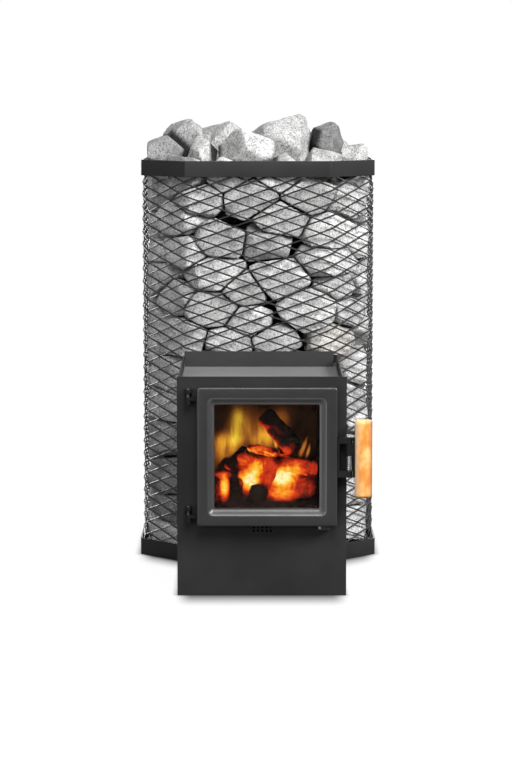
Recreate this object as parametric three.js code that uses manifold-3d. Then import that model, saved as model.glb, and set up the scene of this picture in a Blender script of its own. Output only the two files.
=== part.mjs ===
// Wood-burning sauna heater: an octagonal mesh cage of stones round a firebox that is fed through
// a front tunnel with a glazed door. Millimetres, +Z up. The origin is on the floor, on the axis of
// the cage. The door faces -Y, and +X is on the right of someone who looks at the door.

import * as THREE from 'three';
import { mergeVertices } from 'three/addons/utils/BufferGeometryUtils.js';
import Module from 'manifold-3d';

// Fits
const clearance = 0.3;

// Cage: a square with four cut corners, held by a band at the top and one on the floor
const cageHalfWidth = 245;
const cageFacetHalf = 151;
const cageHeight = 838;
const ringThickness = 4;
const topRingHeight = 33;
const baseRingHeight = 35;
const baseRingStep = 4;
const basePlateThickness = 4;
const meshThickness = 4;
const meshTopDrop = 4;
const meshBorder = 6;
const meshDiamondLong = 140;
const meshDiamondShort = 104;
const meshStrand = 7;
const frontMeshLap = 30;

// Firebox inside the cage
const fireboxCentre = 5;
const fireboxWidth = 304;
const fireboxRear = 130;
const fireboxHeight = 426;
const fireboxPlate = 5;
const lidThickness = 6;
const smokePortWidth = 88;
const smokePortDepth = 80;
const smokeBoxWidth = 150;
const smokeBoxDepth = 130;
const smokeBoxHeight = 170;
const smokeBoxWall = 4;
const brickThickness = 22;
const baffleThickness = 5;
const baffleDrop = 34;
const baffleFront = -40;
const hearthThickness = 8;
const grateWidth = 160;
const grateDepth = 240;
const grateMiddle = -60;
const grateBar = 14;
const grateSlot = 12;
const ashPanWidth = 200;
const ashPanDepth = 260;
const ashPanHeight = 90;
const ashPanWall = 2;
const airPortWidth = 80;
const airPortBottom = 50;
const airPortHeight = 80;

// Flue outlet through the rear of the cage
const flueRise = 87.4;
const flueRadius = 59;
const flueWall = 4;
const flueReach = 45;
const flueInset = 6;
const flueSides = 24;

// Fuel tunnel: an outer casing round an inner duct
const tunnelCentre = 5;
const tunnelWidth = 322;
const tunnelHeight = 432;
const tunnelSheet = 3;
const topCoverHeight = 412;
const collarCentre = 2.5;
const collarWidth = 310;
const collarHeight = 444;
const ductWall = 4;
const mouthCentre = 12;
const mouthWidth = 228;
const mouthHeight = 225;
const ductHeadroom = 15;

// Front plate
const plateFront = -602;
const plateThickness = 4;
const plateCentre = 7.5;
const plateWidth = 331;

// Air slide under the door
const airHoleRadius = 2.1;
const airHolePitch = 8.4;
const airHoleColumns = 5;
const airHoleFirst = -8;
const airHoleRowPitch = 7.3;
const airHoleDrop = 5.7;
const slideMarginAbove = 7.7;
const slideMarginBelow = 8;
const slideMarginLeft = 22;
const slideEndRoom = 12.7;
const slideSheet = 3;
const slideTabMargin = 9;
const slideTabWidth = 18;
const slideTabInset = 4;
const slideTabHeight = 8;
const slideTabReach = 10;
const guideFlange = 5;
const guideLip = 4;

// Door
const doorCentre = 17.3;
const doorLap = 24;
const doorWidth = 273;
const doorHeight = 273;
const doorDepth = 24;
const doorFace = 12;
const doorRim = 4;
const doorEdge = 2;
const doorMargin = 23;
const windowBevel = 11;
const windowBevelDepth = 9;
const doorGasketThickness = 3.4;
const doorGasketWidth = 10;
const doorGasketBack = 6;
const glassLap = 4.5;
const glassThickness = 4;
const glassGasketThickness = 2;
const glassGasketWidth = 4.2;
const screwStep = 5;

// Hinges on the left of the door
const hingeGap = 16.8;
const hingeStandOff = 14;
const hingeFromTop = 20;
const hingeFromBottom = 22;
const hingeHeight = 30;
const hingeEar = 8;
const hingeLugRadius = 7;
const hingeBackPlate = 3;
const hingeTongue = 6;
const hingePinRadius = 3;
const hingePinProud = 1.5;

// Latch and wooden grip on the right of the door
const latchPast = 4;
const latchStandOff = 14;
const latchDrop = 1.5;
const latchHeight = 78;
const latchEar = 12;
const latchLugRadius = 7;
const latchSidePlate = 4;
const latchDepth = 16;
const latchPinRadius = 3;
const latchPinProud = 3;
const leverStrip = 3.5;
const leverStripGap = 0.5;
const leverKnuckle = 23.7;
const leverNoseGap = 1;
const leverNoseWidth = 7;
const leverNosePast = 5.5;
const leverNoseTrim = 2;
const gripWidth = 34;
const gripHeight = 152;
const gripDrop = 3;
const gripCorner = 12;
const gripDome = 5;
const gripScrewSpread = 30;

// Screws: head and shank
const screwHeadRadius = 4;
const screwHeadHeight = 2.5;
const screwShankRadius = 2;
const gripScrewShank = 20;
const retainerScrewShank = 18;
const screwSides = 8;
const pinSides = 12;
const lugSegments = 6;

// Return spring on the latch pin
const springWire = 1.6;
const springMeanRadius = 4.8;
const springTurns = 8;
const springSteps = 8;
const springSides = 5;

// Stones: caged ones lie at least a spread apart, with heights stretched, and each is a lump cut by
// broken faces, by planes half way to its neighbours and by the cage
const stoneSeed = 58;
const stoneTrials = 40000;
const stoneSpread = 75;
const innerSpread = 104;
const stoneStretch = 1.45;
const stoneDepths = [28, 46];
const innerDepths = [66, 300];
const stoneRoom = 20;
const stoneHalfSizes = [58, 54, 42];
const stoneSizes = [0.8, 1.2];
const stoneSizePull = 0.3;
const stoneNear = 240;
const stoneGap = 1.8;
const stoneChips = 10;
const stoneChipReach = [0.84, 1.1];
const stoneChipTurn = Math.PI * (3 - Math.sqrt(5));
const stoneRecess = 12;
const stoneTilt = 0.2;
const stoneLeast = 0.2;
const stoneShare = 0.45;
const stoneCore = 28;
const stoneEdge = 30;
const heapTop = 932;

// Heaped stones above the top ring: centre x and y, top z, and half sizes x, y and z
const heapStones = [
  [-198, -40, 889, 42, 50, 44],
  [-157, 20, 921, 48, 52, 56],
  [-118, -150, 888, 34, 44, 44],
  [-67, -60, 919, 33, 44, 58],
  [-24, -172, 903, 60, 52, 50],
  [38, -40, 932, 78, 66, 62],
  [143, 0, 914, 42, 56, 56],
  [136, -180, 864, 40, 40, 34],
  [182, -116, 868, 26, 40, 36],
  [212, -20, 869, 28, 46, 36],
  [-80, 110, 912, 64, 62, 56],
  [62, 120, 908, 68, 58, 54],
  [158, 110, 888, 48, 54, 44],
  [-166, 116, 884, 48, 54, 44],
  [0, 188, 878, 58, 44, 42],
];

// Finishes
const finishes = {
  paint: { color: 0x3b3b3c, roughness: 0.55, metalness: 0.4 },
  mesh: { color: 0x565656, roughness: 0.5, metalness: 0.6 },
  steel: { color: 0x9c9c9a, roughness: 0.35, metalness: 0.9 },
  castIron: { color: 0x2a2a2b, roughness: 0.8, metalness: 0.5 },
  brick: { color: 0xb4977c, roughness: 0.95, metalness: 0 },
  gasket: { color: 0x77756e, roughness: 0.95, metalness: 0 },
  glass: { color: 0x1c1c1c, roughness: 0.05, metalness: 0 },
  wood: { color: 0xdf9a52, roughness: 0.6, metalness: 0 },
  stone: { color: 0xb8b4ac, roughness: 0.9, metalness: 0 },
};

// Places worked out from the sizes above
const octagonTurn = Math.tan(Math.PI / 8);
const meshOuter = ringThickness + clearance;
const fillInset = meshOuter + meshThickness + clearance;
const fillHalf = cageHalfWidth - fillInset;
const floorTop = basePlateThickness + clearance;
const baseHalf = cageHalfWidth + baseRingStep;
const collarFront = -(baseHalf - ringThickness - clearance);
const collarBack = -(cageHalfWidth - meshOuter + clearance);
const plateBack = plateFront + plateThickness;
const mouthLeft = mouthCentre - mouthWidth / 2;
const mouthRight = mouthCentre + mouthWidth / 2;
const mouthTop = topCoverHeight - tunnelSheet - ductHeadroom - ductWall;
const mouthBottom = mouthTop - mouthHeight;
const ductTop = mouthTop + ductWall;
const hearthTop = mouthBottom;
const cornerHalf = (cageHalfWidth - cageFacetHalf) / Math.SQRT2;
const cornerDistance = (cageHalfWidth + cageFacetHalf) / Math.SQRT2;
const fireboxLeft = fireboxCentre - fireboxWidth / 2;
const fireboxRight = fireboxCentre + fireboxWidth / 2;
const cornerRoom = (cornerDistance - fillInset) * Math.SQRT2 - Math.max(fireboxRight, -fireboxLeft);
const fireboxFront = -Math.min(fillHalf, cornerRoom);
const innerLeft = fireboxLeft + fireboxPlate + clearance;
const innerRight = fireboxRight - fireboxPlate - clearance;
const innerFront = fireboxFront + fireboxPlate + clearance;
const innerRear = fireboxRear - fireboxPlate - clearance;
const brickTop = fireboxHeight - baffleDrop;
const lidBottom = fireboxHeight + clearance;
const lidTop = lidBottom + lidThickness;
const smokeBoxBottom = lidTop + clearance;
const smokeBoxTop = smokeBoxBottom + smokeBoxHeight;
const flueHeight = smokeBoxBottom + flueRise;
const smokeBoxRear = fireboxRear - fireboxPlate;
const smokeBoxFront = smokeBoxRear - smokeBoxDepth;
const tunnelLeft = tunnelCentre - tunnelWidth / 2;
const tunnelRight = tunnelCentre + tunnelWidth / 2;
const tunnelRear = collarFront - clearance;
const casingFront = plateBack + clearance;
const casingLeft = tunnelLeft + tunnelSheet + clearance;
const casingRight = tunnelRight - tunnelSheet - clearance;
const plateLeft = plateCentre - plateWidth / 2;
const plateRight = plateCentre + plateWidth / 2;
const doorBack = plateFront - doorGasketThickness - 2 * clearance;
const doorFront = doorBack - doorDepth;
const doorBottom = mouthBottom - doorLap;
const doorTop = doorBottom + doorHeight;
const doorMiddle = (doorBottom + doorTop) / 2;
const windowInset = doorMargin + windowBevel;
const windowHalfWidth = doorWidth / 2 - windowInset;
const windowHalfHeight = doorHeight / 2 - windowInset;
const glassHalfWidth = windowHalfWidth + glassLap;
const glassHalfHeight = windowHalfHeight + glassLap;
const glassGasketFront = doorFront + doorFace + clearance;
const glassFront = glassGasketFront + glassGasketThickness + clearance;
const retainerFront = glassFront + glassThickness + clearance;
const doorLeft = doorCentre - doorWidth / 2;
const doorRight = doorCentre + doorWidth / 2;
const hingeX = doorLeft - hingeGap;
const hingeY = plateFront - hingeStandOff;
const hingeMiddles = [doorTop - hingeFromTop, doorBottom + hingeFromBottom];
const latchSide = doorRight + clearance;
const latchX = Math.max(
  Math.max(plateRight, tunnelRight + clearance) + latchPast,
  latchSide + latchSidePlate + latchLugRadius + clearance,
);
const latchY = plateFront - latchStandOff;
const latchMiddle = doorMiddle - latchDrop;
const gripMiddle = latchMiddle - gripDrop;
const mergeTolerance = 1e-4;

const wasm = await Module();
wasm.setup();

// A closed solid for joining and cutting
function solidOf(geometry) {
  const bare = geometry.clone();
  bare.deleteAttribute('normal');
  bare.deleteAttribute('uv');
  const merged = mergeVertices(bare, mergeTolerance);
  const vertProperties = new Float32Array(merged.attributes.position.array);
  const triVerts = new Uint32Array(merged.index.array);
  return new wasm.Manifold(new wasm.Mesh({ numProp: 3, vertProperties, triVerts }));
}

function geometryOf(solid) {
  const mesh = solid.getMesh();
  const geometry = new THREE.BufferGeometry();
  geometry.setAttribute('position', new THREE.BufferAttribute(mesh.vertProperties, 3));
  geometry.setIndex(new THREE.BufferAttribute(mesh.triVerts, 1));
  return geometry;
}

function join(...geometries) {
  return geometryOf(geometries.map(solidOf).reduce((whole, piece) => whole.add(piece)));
}

function cut(geometry, ...tools) {
  return geometryOf(tools.map(solidOf).reduce((rest, tool) => rest.subtract(tool), solidOf(geometry)));
}

function block(x0, x1, y0, y1, z0, z1) {
  const geometry = new THREE.BoxGeometry(x1 - x0, y1 - y0, z1 - z0);
  return geometry.translate((x0 + x1) / 2, (y0 + y1) / 2, (z0 + z1) / 2);
}

// A round bar along Z
function rod(x, y, radius, z0, z1, sides) {
  const geometry = new THREE.CylinderGeometry(radius, radius, z1 - z0, sides);
  return geometry.rotateX(Math.PI / 2).translate(x, y, (z0 + z1) / 2);
}

// A round bar along Y
function crossRod(x, z, radius, y0, y1, sides) {
  const geometry = new THREE.CylinderGeometry(radius, radius, y1 - y0, sides);
  return geometry.translate(x, (y0 + y1) / 2, z);
}

// A plan outline raised from z0 to z1
function prism(shape, z0, z1) {
  const geometry = new THREE.ExtrudeGeometry(shape, { depth: z1 - z0, bevelEnabled: false });
  return geometry.translate(0, 0, z0);
}

// An outline in X and Z with its faces at y0 and y1
function upright(shape, y0, y1) {
  const geometry = new THREE.ExtrudeGeometry(shape, { depth: y1 - y0, bevelEnabled: false });
  return geometry.rotateX(Math.PI / 2).translate(0, y1, 0);
}

function outline(points) {
  return new THREE.Shape(points.map(([x, y]) => new THREE.Vector2(x, y)));
}

function rectangle(x0, x1, z0, z1) {
  return outline([[x0, z0], [x1, z0], [x1, z1], [x0, z1]]);
}

// The plan of the cage, moved in by an inset
function octagon(inset) {
  const half = cageHalfWidth - inset;
  const facet = cageFacetHalf - inset * octagonTurn;
  return outline([
    [facet, -half], [half, -facet], [half, facet], [facet, half],
    [-facet, half], [-half, facet], [-half, -facet], [-facet, -half],
  ]);
}

function octagonBand(outerInset, thickness, z0, z1) {
  const shape = octagon(outerInset);
  shape.holes.push(octagon(outerInset + thickness));
  return prism(shape, z0, z1);
}

// A closed section carried round a rectangle with mitred corners; section points are inset and y
function rectangleLoft(section, x, z, halfWidth, halfHeight) {
  const corners = [[-1, -1], [1, -1], [1, 1], [-1, 1]];
  const place = ([inset, y]) => corners.flatMap(([sx, sz]) => [
    x + sx * (halfWidth - inset), y, z + sz * (halfHeight - inset),
  ]);
  const index = [];
  section.forEach((_, i) => corners.forEach((__, k) => {
    const next = (i + 1) % section.length;
    const turn = (k + 1) % corners.length;
    const [a, b, c, d] = [i * 4 + k, i * 4 + turn, next * 4 + turn, next * 4 + k];
    index.push(a, b, c, a, c, d);
  }));
  const geometry = new THREE.BufferGeometry();
  geometry.setAttribute('position', new THREE.Float32BufferAttribute(section.flatMap(place), 3));
  geometry.setIndex(index);
  return geometry;
}

function flatRing(x, z, halfWidth, halfHeight, width, y0, y1) {
  return rectangleLoft([[0, y1], [0, y0], [width, y0], [width, y1]], x, z, halfWidth, halfHeight);
}

// A lug with a round end on the pin and straight sides that reach away at an angle
function lug(x, y, radius, reach, angle, z0, z1) {
  const shape = new THREE.Shape();
  shape.moveTo(reach, -radius);
  shape.lineTo(reach, radius);
  shape.lineTo(0, radius);
  shape.absarc(0, 0, radius, Math.PI / 2, (3 * Math.PI) / 2, false);
  const settings = { depth: z1 - z0, bevelEnabled: false, curveSegments: lugSegments };
  const geometry = new THREE.ExtrudeGeometry(shape, settings);
  return geometry.rotateZ(angle).translate(x, y, z0);
}

// A screw along Y with its tip at the origin and its head at the +Y end
function screw(shank) {
  const profile = [
    [0, 0], [screwShankRadius, 0], [screwShankRadius, shank], [screwHeadRadius, shank],
    [screwHeadRadius, shank + screwHeadHeight], [0, shank + screwHeadHeight],
  ];
  return new THREE.LatheGeometry(profile.map(([r, y]) => new THREE.Vector2(r, y)), screwSides);
}

const heater = new THREE.Group();

function add(name, geometry, finish) {
  const mesh = new THREE.Mesh(geometry, new THREE.MeshStandardMaterial(finishes[finish]));
  mesh.name = name;
  heater.add(mesh);
}

// Cage base and rings
add('base_plate', prism(octagon(ringThickness + clearance - baseRingStep), 0, basePlateThickness), 'paint');
add('base_ring', octagonBand(-baseRingStep, ringThickness, 0, baseRingHeight), 'paint');
add('top_ring', octagonBand(0, ringThickness, cageHeight - topRingHeight, cageHeight), 'paint');

// One expanded-metal panel, drawn as an open net of diamonds
function distanceToEdge(point, from, to) {
  const along = new THREE.Line3(new THREE.Vector3(...from, 0), new THREE.Vector3(...to, 0));
  const nearest = along.closestPointToPoint(new THREE.Vector3(...point, 0), true, new THREE.Vector3());
  return nearest.distanceTo(new THREE.Vector3(...point, 0));
}

function meshNet(half, y0, y1, z0, z1, holes) {
  const cuts = holes.map(({ at, radius }) => crossRod(
    at[0], at[1], radius, y0 - meshThickness, y1 + meshThickness, flueSides));
  const columns = Math.max(1, Math.round((2 * (half - meshBorder)) / meshDiamondLong));
  const rows = Math.max(1, Math.round((z1 - z0 - 2 * meshBorder) / meshDiamondShort));
  const stepX = (2 * (half - meshBorder)) / columns;
  const stepZ = (z1 - z0 - 2 * meshBorder) / rows;
  const shrink = 1 - (meshStrand * Math.hypot(stepX, stepZ)) / (stepX * stepZ);
  const reachX = (stepX / 2) * shrink;
  const reachZ = (stepZ / 2) * shrink;
  const left = -half + meshBorder;
  for (let row = 1; row < 2 * rows; row += 1) {
    const z = z0 + meshBorder + (row * stepZ) / 2;
    const shifted = row % 2;
    for (let column = 0; column <= columns - shifted; column += 1) {
      const x = left + (column + shifted / 2) * stepX;
      const xFrom = Math.max(x - reachX, left);
      const xTo = Math.min(x + reachX, -left);
      const corners = [[xFrom, z], [x, z - reachZ], [xTo, z], [x, z + reachZ]];
      const points = corners.filter(([px], i) => i % 2 === 1 || px !== x);
      const blocked = holes.some((hole) => points.some((from, i) => (
        distanceToEdge(hole.at, from, points[(i + 1) % points.length]) < hole.radius + meshBorder
        || Math.hypot(hole.at[0] - x, hole.at[1] - z) < hole.radius
      )));
      if (!blocked) cuts.push(upright(outline(points), y0 - meshThickness, y1 + meshThickness));
    }
  }
  return cut(block(-half, half, y0, y1, z0, z1), ...cuts);
}

const facetNames = ['front', 'front_right', 'right', 'rear_right', 'rear', 'rear_left', 'left', 'front_left'];
facetNames.forEach((facet, turn) => {
  const onCorner = turn % 2 === 1;
  const outer = (onCorner ? cornerDistance : cageHalfWidth) - meshOuter;
  const fullHalf = onCorner ? cornerHalf : cageFacetHalf;
  const half = fullHalf - (meshOuter + meshThickness) * octagonTurn - clearance;
  const aboveTunnel = Math.max(collarHeight - frontMeshLap, ductTop + clearance);
  const bottom = facet === 'front' ? aboveTunnel : floorTop;
  const holes = facet === 'rear' ? [{ at: [0, flueHeight], radius: flueRadius + clearance }] : [];
  const panel = meshNet(half, -outer, -outer + meshThickness, bottom, cageHeight - meshTopDrop, holes);
  add(`mesh_${facet}`, panel.rotateZ((turn * Math.PI) / 4), 'mesh');
});

// Firebox, with the mouth and the air port cut through its front wall
const mouthCut = block(
  mouthLeft - ductWall - clearance, mouthRight + ductWall + clearance,
  collarFront - fireboxPlate, innerFront + fireboxPlate,
  mouthBottom - ductWall - clearance, ductTop + clearance,
);
const airPortCut = block(
  fireboxCentre - airPortWidth / 2, fireboxCentre + airPortWidth / 2,
  collarFront - fireboxPlate, innerFront + fireboxPlate,
  airPortBottom, airPortBottom + airPortHeight,
);
const shellPlan = rectangle(fireboxLeft, fireboxRight, fireboxFront, fireboxRear);
shellPlan.holes.push(rectangle(
  fireboxLeft + fireboxPlate, fireboxRight - fireboxPlate,
  fireboxFront + fireboxPlate, fireboxRear - fireboxPlate,
));
add('firebox_shell', cut(prism(shellPlan, floorTop, fireboxHeight), mouthCut, airPortCut), 'castIron');

const lidPlan = rectangle(fireboxLeft, fireboxRight, fireboxFront, fireboxRear);
const smokePortMiddle = (smokeBoxFront + smokeBoxRear) / 2;
lidPlan.holes.push(rectangle(
  -smokePortWidth / 2, smokePortWidth / 2,
  smokePortMiddle - smokePortDepth / 2, smokePortMiddle + smokePortDepth / 2,
));
add('firebox_lid', cut(prism(lidPlan, lidBottom, lidTop), mouthCut), 'castIron');

const smokeBoxHollow = block(
  -smokeBoxWidth / 2 + smokeBoxWall, smokeBoxWidth / 2 - smokeBoxWall,
  smokeBoxFront + smokeBoxWall, smokeBoxRear - smokeBoxWall,
  smokeBoxBottom - smokeBoxWall, smokeBoxTop - smokeBoxWall,
);
add('smoke_box', cut(
  block(-smokeBoxWidth / 2, smokeBoxWidth / 2, smokeBoxFront, smokeBoxRear, smokeBoxBottom, smokeBoxTop),
  smokeBoxHollow,
  crossRod(0, flueHeight, flueRadius + clearance, smokeBoxRear - 2 * smokeBoxWall, fireboxRear, flueSides),
), 'castIron');

const flueStart = smokeBoxRear - smokeBoxWall - flueInset;
const flueEnd = cageHalfWidth + flueReach;
add('flue_collar', cut(
  crossRod(0, flueHeight, flueRadius, flueStart, flueEnd, flueSides),
  crossRod(0, flueHeight, flueRadius - flueWall, flueStart - flueWall, flueEnd + flueWall, flueSides),
), 'castIron');

// Lining, hearth, grate and ash pan
const sideBrickRear = innerRear - brickThickness - clearance;
const brickBottom = hearthTop + clearance;
add('firebrick_left', block(
  innerLeft, innerLeft + brickThickness, innerFront, sideBrickRear, brickBottom, brickTop), 'brick');
add('firebrick_right', block(
  innerRight - brickThickness, innerRight, innerFront, sideBrickRear, brickBottom, brickTop), 'brick');
add('firebrick_rear', block(
  innerLeft, innerRight, innerRear - brickThickness, innerRear, brickBottom, brickTop), 'brick');
add('smoke_baffle', block(
  innerLeft, innerRight, baffleFront, innerRear,
  brickTop + clearance, brickTop + clearance + baffleThickness), 'castIron');

const hearthPlan = rectangle(innerLeft, innerRight, innerFront, innerRear);
hearthPlan.holes.push(rectangle(
  fireboxCentre - grateWidth / 2 - clearance, fireboxCentre + grateWidth / 2 + clearance,
  grateMiddle - grateDepth / 2 - clearance, grateMiddle + grateDepth / 2 + clearance,
));
add('hearth_plate', prism(hearthPlan, hearthTop - hearthThickness, hearthTop), 'castIron');

const slotCount = Math.floor((grateWidth - grateBar) / (grateBar + grateSlot));
const slotSpan = slotCount * (grateBar + grateSlot) - grateBar;
const grateSlots = Array.from({ length: slotCount }, (_, slot) => {
  const x = fireboxCentre - slotSpan / 2 + slot * (grateBar + grateSlot);
  return block(
    x, x + grateSlot, grateMiddle - grateDepth / 2 + grateBar, grateMiddle + grateDepth / 2 - grateBar,
    hearthTop - 2 * hearthThickness, hearthTop + hearthThickness);
});
add('grate', cut(
  block(
    fireboxCentre - grateWidth / 2, fireboxCentre + grateWidth / 2,
    grateMiddle - grateDepth / 2, grateMiddle + grateDepth / 2, hearthTop - hearthThickness, hearthTop),
  ...grateSlots,
), 'castIron');

// The ash pan is a frame of four walls on a floor sheet
const ashPanPlan = (inset) => [
  fireboxCentre - ashPanWidth / 2 + inset, fireboxCentre + ashPanWidth / 2 - inset,
  grateMiddle - ashPanDepth / 2 + inset, grateMiddle + ashPanDepth / 2 - inset,
];
const ashPanFloorTop = floorTop + ashPanWall;
add('ash_pan_floor', block(...ashPanPlan(0), floorTop, ashPanFloorTop), 'steel');
add('ash_pan', cut(
  block(...ashPanPlan(0), ashPanFloorTop + clearance, floorTop + ashPanHeight),
  block(...ashPanPlan(ashPanWall), floorTop, floorTop + 2 * ashPanHeight),
), 'steel');

// Fuel tunnel: duct, collar plate and outer casing
const ductPlan = rectangle(mouthLeft - ductWall, mouthRight + ductWall, mouthBottom - ductWall, ductTop);
ductPlan.holes.push(rectangle(mouthLeft, mouthRight, mouthBottom, mouthTop));
add('fire_tunnel', upright(ductPlan, casingFront, innerFront - clearance), 'castIron');

add('collar_plate', cut(
  block(
    collarCentre - collarWidth / 2, collarCentre + collarWidth / 2,
    collarFront, collarBack, baseRingHeight + clearance, collarHeight),
  mouthCut,
  airPortCut,
), 'paint');

// Cheek outline in Y and Z, stepped over the base ring
function cheek(x0, x1) {
  const step = -baseHalf - clearance;
  const ringTop = baseRingHeight + clearance;
  const shape = outline([
    [casingFront, 0], [step, 0], [step, ringTop], [tunnelRear, ringTop],
    [tunnelRear, tunnelHeight], [casingFront, tunnelHeight],
  ]);
  const geometry = new THREE.ExtrudeGeometry(shape, { depth: x1 - x0, bevelEnabled: false });
  return geometry.rotateX(Math.PI / 2).rotateZ(Math.PI / 2).translate(x0, 0, 0);
}
add('left_cheek', cheek(tunnelLeft, tunnelLeft + tunnelSheet), 'paint');
add('right_cheek', cheek(tunnelRight - tunnelSheet, tunnelRight), 'paint');

add('top_cover', block(
  casingLeft, casingRight, casingFront, tunnelRear, topCoverHeight - tunnelSheet, topCoverHeight), 'paint');
add('tunnel_floor', block(
  casingLeft, casingRight, casingFront, -baseHalf - clearance, 0, tunnelSheet), 'paint');

// Front plate with the mouth, the air holes and the slot of the slide's tab
const slideTravel = airHolePitch / 2;
const slotSlack = 2 * clearance;
const airHoleUpperRow = doorBottom - airHoleDrop;
const slideLeft = airHoleFirst - slideMarginLeft;
const slideRight = casingRight - slideEndRoom;
const slideTop = airHoleUpperRow + slideMarginAbove;
const slideBottom = airHoleUpperRow - airHoleRowPitch - slideMarginBelow;
const slideTabLeft = slideRight - slideTabMargin - slideTabWidth;
const slideTabTop = slideTop - slideTabInset;
const slideTabBottom = slideTabTop - slideTabHeight;
const airHoles = Array.from({ length: 2 * airHoleColumns }, (_, k) => [
  airHoleFirst + Math.floor(k / 2) * airHolePitch,
  airHoleUpperRow - (k % 2) * airHoleRowPitch,
]);
const drilled = (y0, y1) => airHoles.map(([x, z]) => crossRod(x, z, airHoleRadius, y0, y1, screwSides));
add('front_plate', cut(
  block(plateLeft, plateRight, plateFront, plateBack, 0, tunnelHeight),
  block(
    mouthLeft, mouthRight, plateFront - plateThickness, plateBack + plateThickness, mouthBottom, mouthTop),
  block(
    slideTabLeft - slideTravel - slotSlack, slideTabLeft + slideTabWidth + slotSlack,
    plateFront - plateThickness, plateBack + plateThickness,
    slideTabBottom - slotSlack, slideTabTop + slotSlack),
  ...drilled(plateFront - plateThickness, plateBack + plateThickness),
), 'paint');

// Air slide: its holes line up with those of the plate when it is open
const slideFront = plateBack + clearance;
const slideBack = slideFront + slideSheet;
add('air_slide', cut(join(
  block(slideLeft, slideRight, slideFront, slideBack, slideBottom, slideTop),
  block(
    slideTabLeft, slideTabLeft + slideTabWidth, plateFront - slideTabReach, slideBack,
    slideTabBottom, slideTabTop),
), ...drilled(slideFront - slideSheet, slideBack + slideSheet)), 'steel');

const guideLeft = slideLeft - slideTravel;
const guideRight = slideRight - slideTravel;
const guideTop = slideTop + clearance;
const guideBottom = slideBottom - clearance;
const lipFront = slideBack + clearance;
const lipBack = lipFront + guideLip;
add('slide_guide_upper', join(
  block(guideLeft, guideRight, slideFront, lipBack, guideTop, guideTop + guideFlange),
  block(guideLeft, guideRight, lipFront, lipBack, slideTop - guideLip, slideTop + guideFlange),
), 'steel');
add('slide_guide_lower', join(
  block(guideLeft, guideRight, slideFront, lipBack, guideBottom - guideFlange, guideBottom),
  block(guideLeft, guideRight, lipFront, lipBack, slideBottom - guideFlange, slideBottom + guideLip),
), 'steel');

// Hinges: an eared bracket and pin on the plate, and a tongue on the door
const hingeReach = plateFront - clearance - hingeY;
['upper', 'lower'].forEach((level, which) => {
  const bottom = hingeMiddles[which] - hingeHeight / 2;
  const top = hingeMiddles[which] + hingeHeight / 2;
  const backPlateFront = plateFront - clearance - hingeBackPlate;
  const hole = rod(hingeX, hingeY, hingePinRadius + clearance, bottom - hingeEar, top + hingeEar, pinSides);
  add(`hinge_bracket_${level}`, cut(join(
    lug(hingeX, hingeY, hingeLugRadius, hingeReach, Math.PI / 2, bottom, bottom + hingeEar),
    lug(hingeX, hingeY, hingeLugRadius, hingeReach, Math.PI / 2, top - hingeEar, top),
    block(
      hingeX - hingeLugRadius, hingeX + hingeLugRadius,
      backPlateFront, plateFront - clearance, bottom, top),
  ), hole), 'paint');
  add(`hinge_pin_${level}`, rod(
    hingeX, hingeY, hingePinRadius, bottom - hingePinProud, top + hingePinProud, pinSides), 'steel');
  const tongueBottom = bottom + hingeEar + clearance;
  const tongueReach = doorLeft - clearance - hingeX;
  const tongue = lug(
    hingeX, hingeY, hingeLugRadius, tongueReach, 0, tongueBottom, tongueBottom + hingeTongue);
  add(`hinge_tongue_${level}`, cut(tongue, hole), 'paint');
});

// Door: bevelled frame, glass between its seals, and a retainer held by four screws
const screwX = glassHalfWidth + screwStep;
const screwZ = glassHalfHeight + screwStep;
const screwPlaces = [
  ['upper_left', -screwX, screwZ], ['upper_right', screwX, screwZ],
  ['lower_left', -screwX, -screwZ], ['lower_right', screwX, -screwZ],
].map(([name, x, z]) => [name, doorCentre + x, doorMiddle + z]);
const screwTip = doorBack - retainerScrewShank;
const screwHoles = screwPlaces.map(([, x, z]) => crossRod(
  x, z, screwShankRadius + clearance, screwTip - clearance, doorBack + clearance, screwSides));

const frameSection = [
  [0, doorBack], [0, doorFront + doorEdge], [doorEdge, doorFront], [doorMargin, doorFront],
  [windowInset, doorFront + windowBevelDepth], [windowInset, doorFront + doorFace],
  [doorRim, doorFront + doorFace], [doorRim, doorBack],
];
const frameRing = rectangleLoft(frameSection, doorCentre, doorMiddle, doorWidth / 2, doorHeight / 2);
add('door_frame', cut(frameRing, ...screwHoles), 'paint');
add('glass_gasket', flatRing(
  doorCentre, doorMiddle, glassHalfWidth, glassHalfHeight, glassGasketWidth,
  glassGasketFront, glassGasketFront + glassGasketThickness), 'gasket');
add('door_glass', block(
  doorCentre - glassHalfWidth, doorCentre + glassHalfWidth, glassFront, glassFront + glassThickness,
  doorMiddle - glassHalfHeight, doorMiddle + glassHalfHeight), 'glass');

const retainerHalfWidth = doorWidth / 2 - doorRim - clearance;
const retainerHalfHeight = doorHeight / 2 - doorRim - clearance;
const retainerRing = flatRing(
  doorCentre, doorMiddle, retainerHalfWidth, retainerHalfHeight, retainerHalfWidth - windowHalfWidth,
  retainerFront, doorBack);
add('glass_retainer', cut(retainerRing, ...screwHoles), 'paint');
screwPlaces.forEach(([name, x, z]) => add(
  `retainer_screw_${name}`, screw(retainerScrewShank + clearance).translate(x, screwTip, z), 'steel'));
add('door_gasket', flatRing(
  doorCentre, doorMiddle, doorWidth / 2 - doorGasketBack, doorHeight / 2 - doorGasketBack, doorGasketWidth,
  doorBack + clearance, doorBack + clearance + doorGasketThickness), 'gasket');

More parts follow.
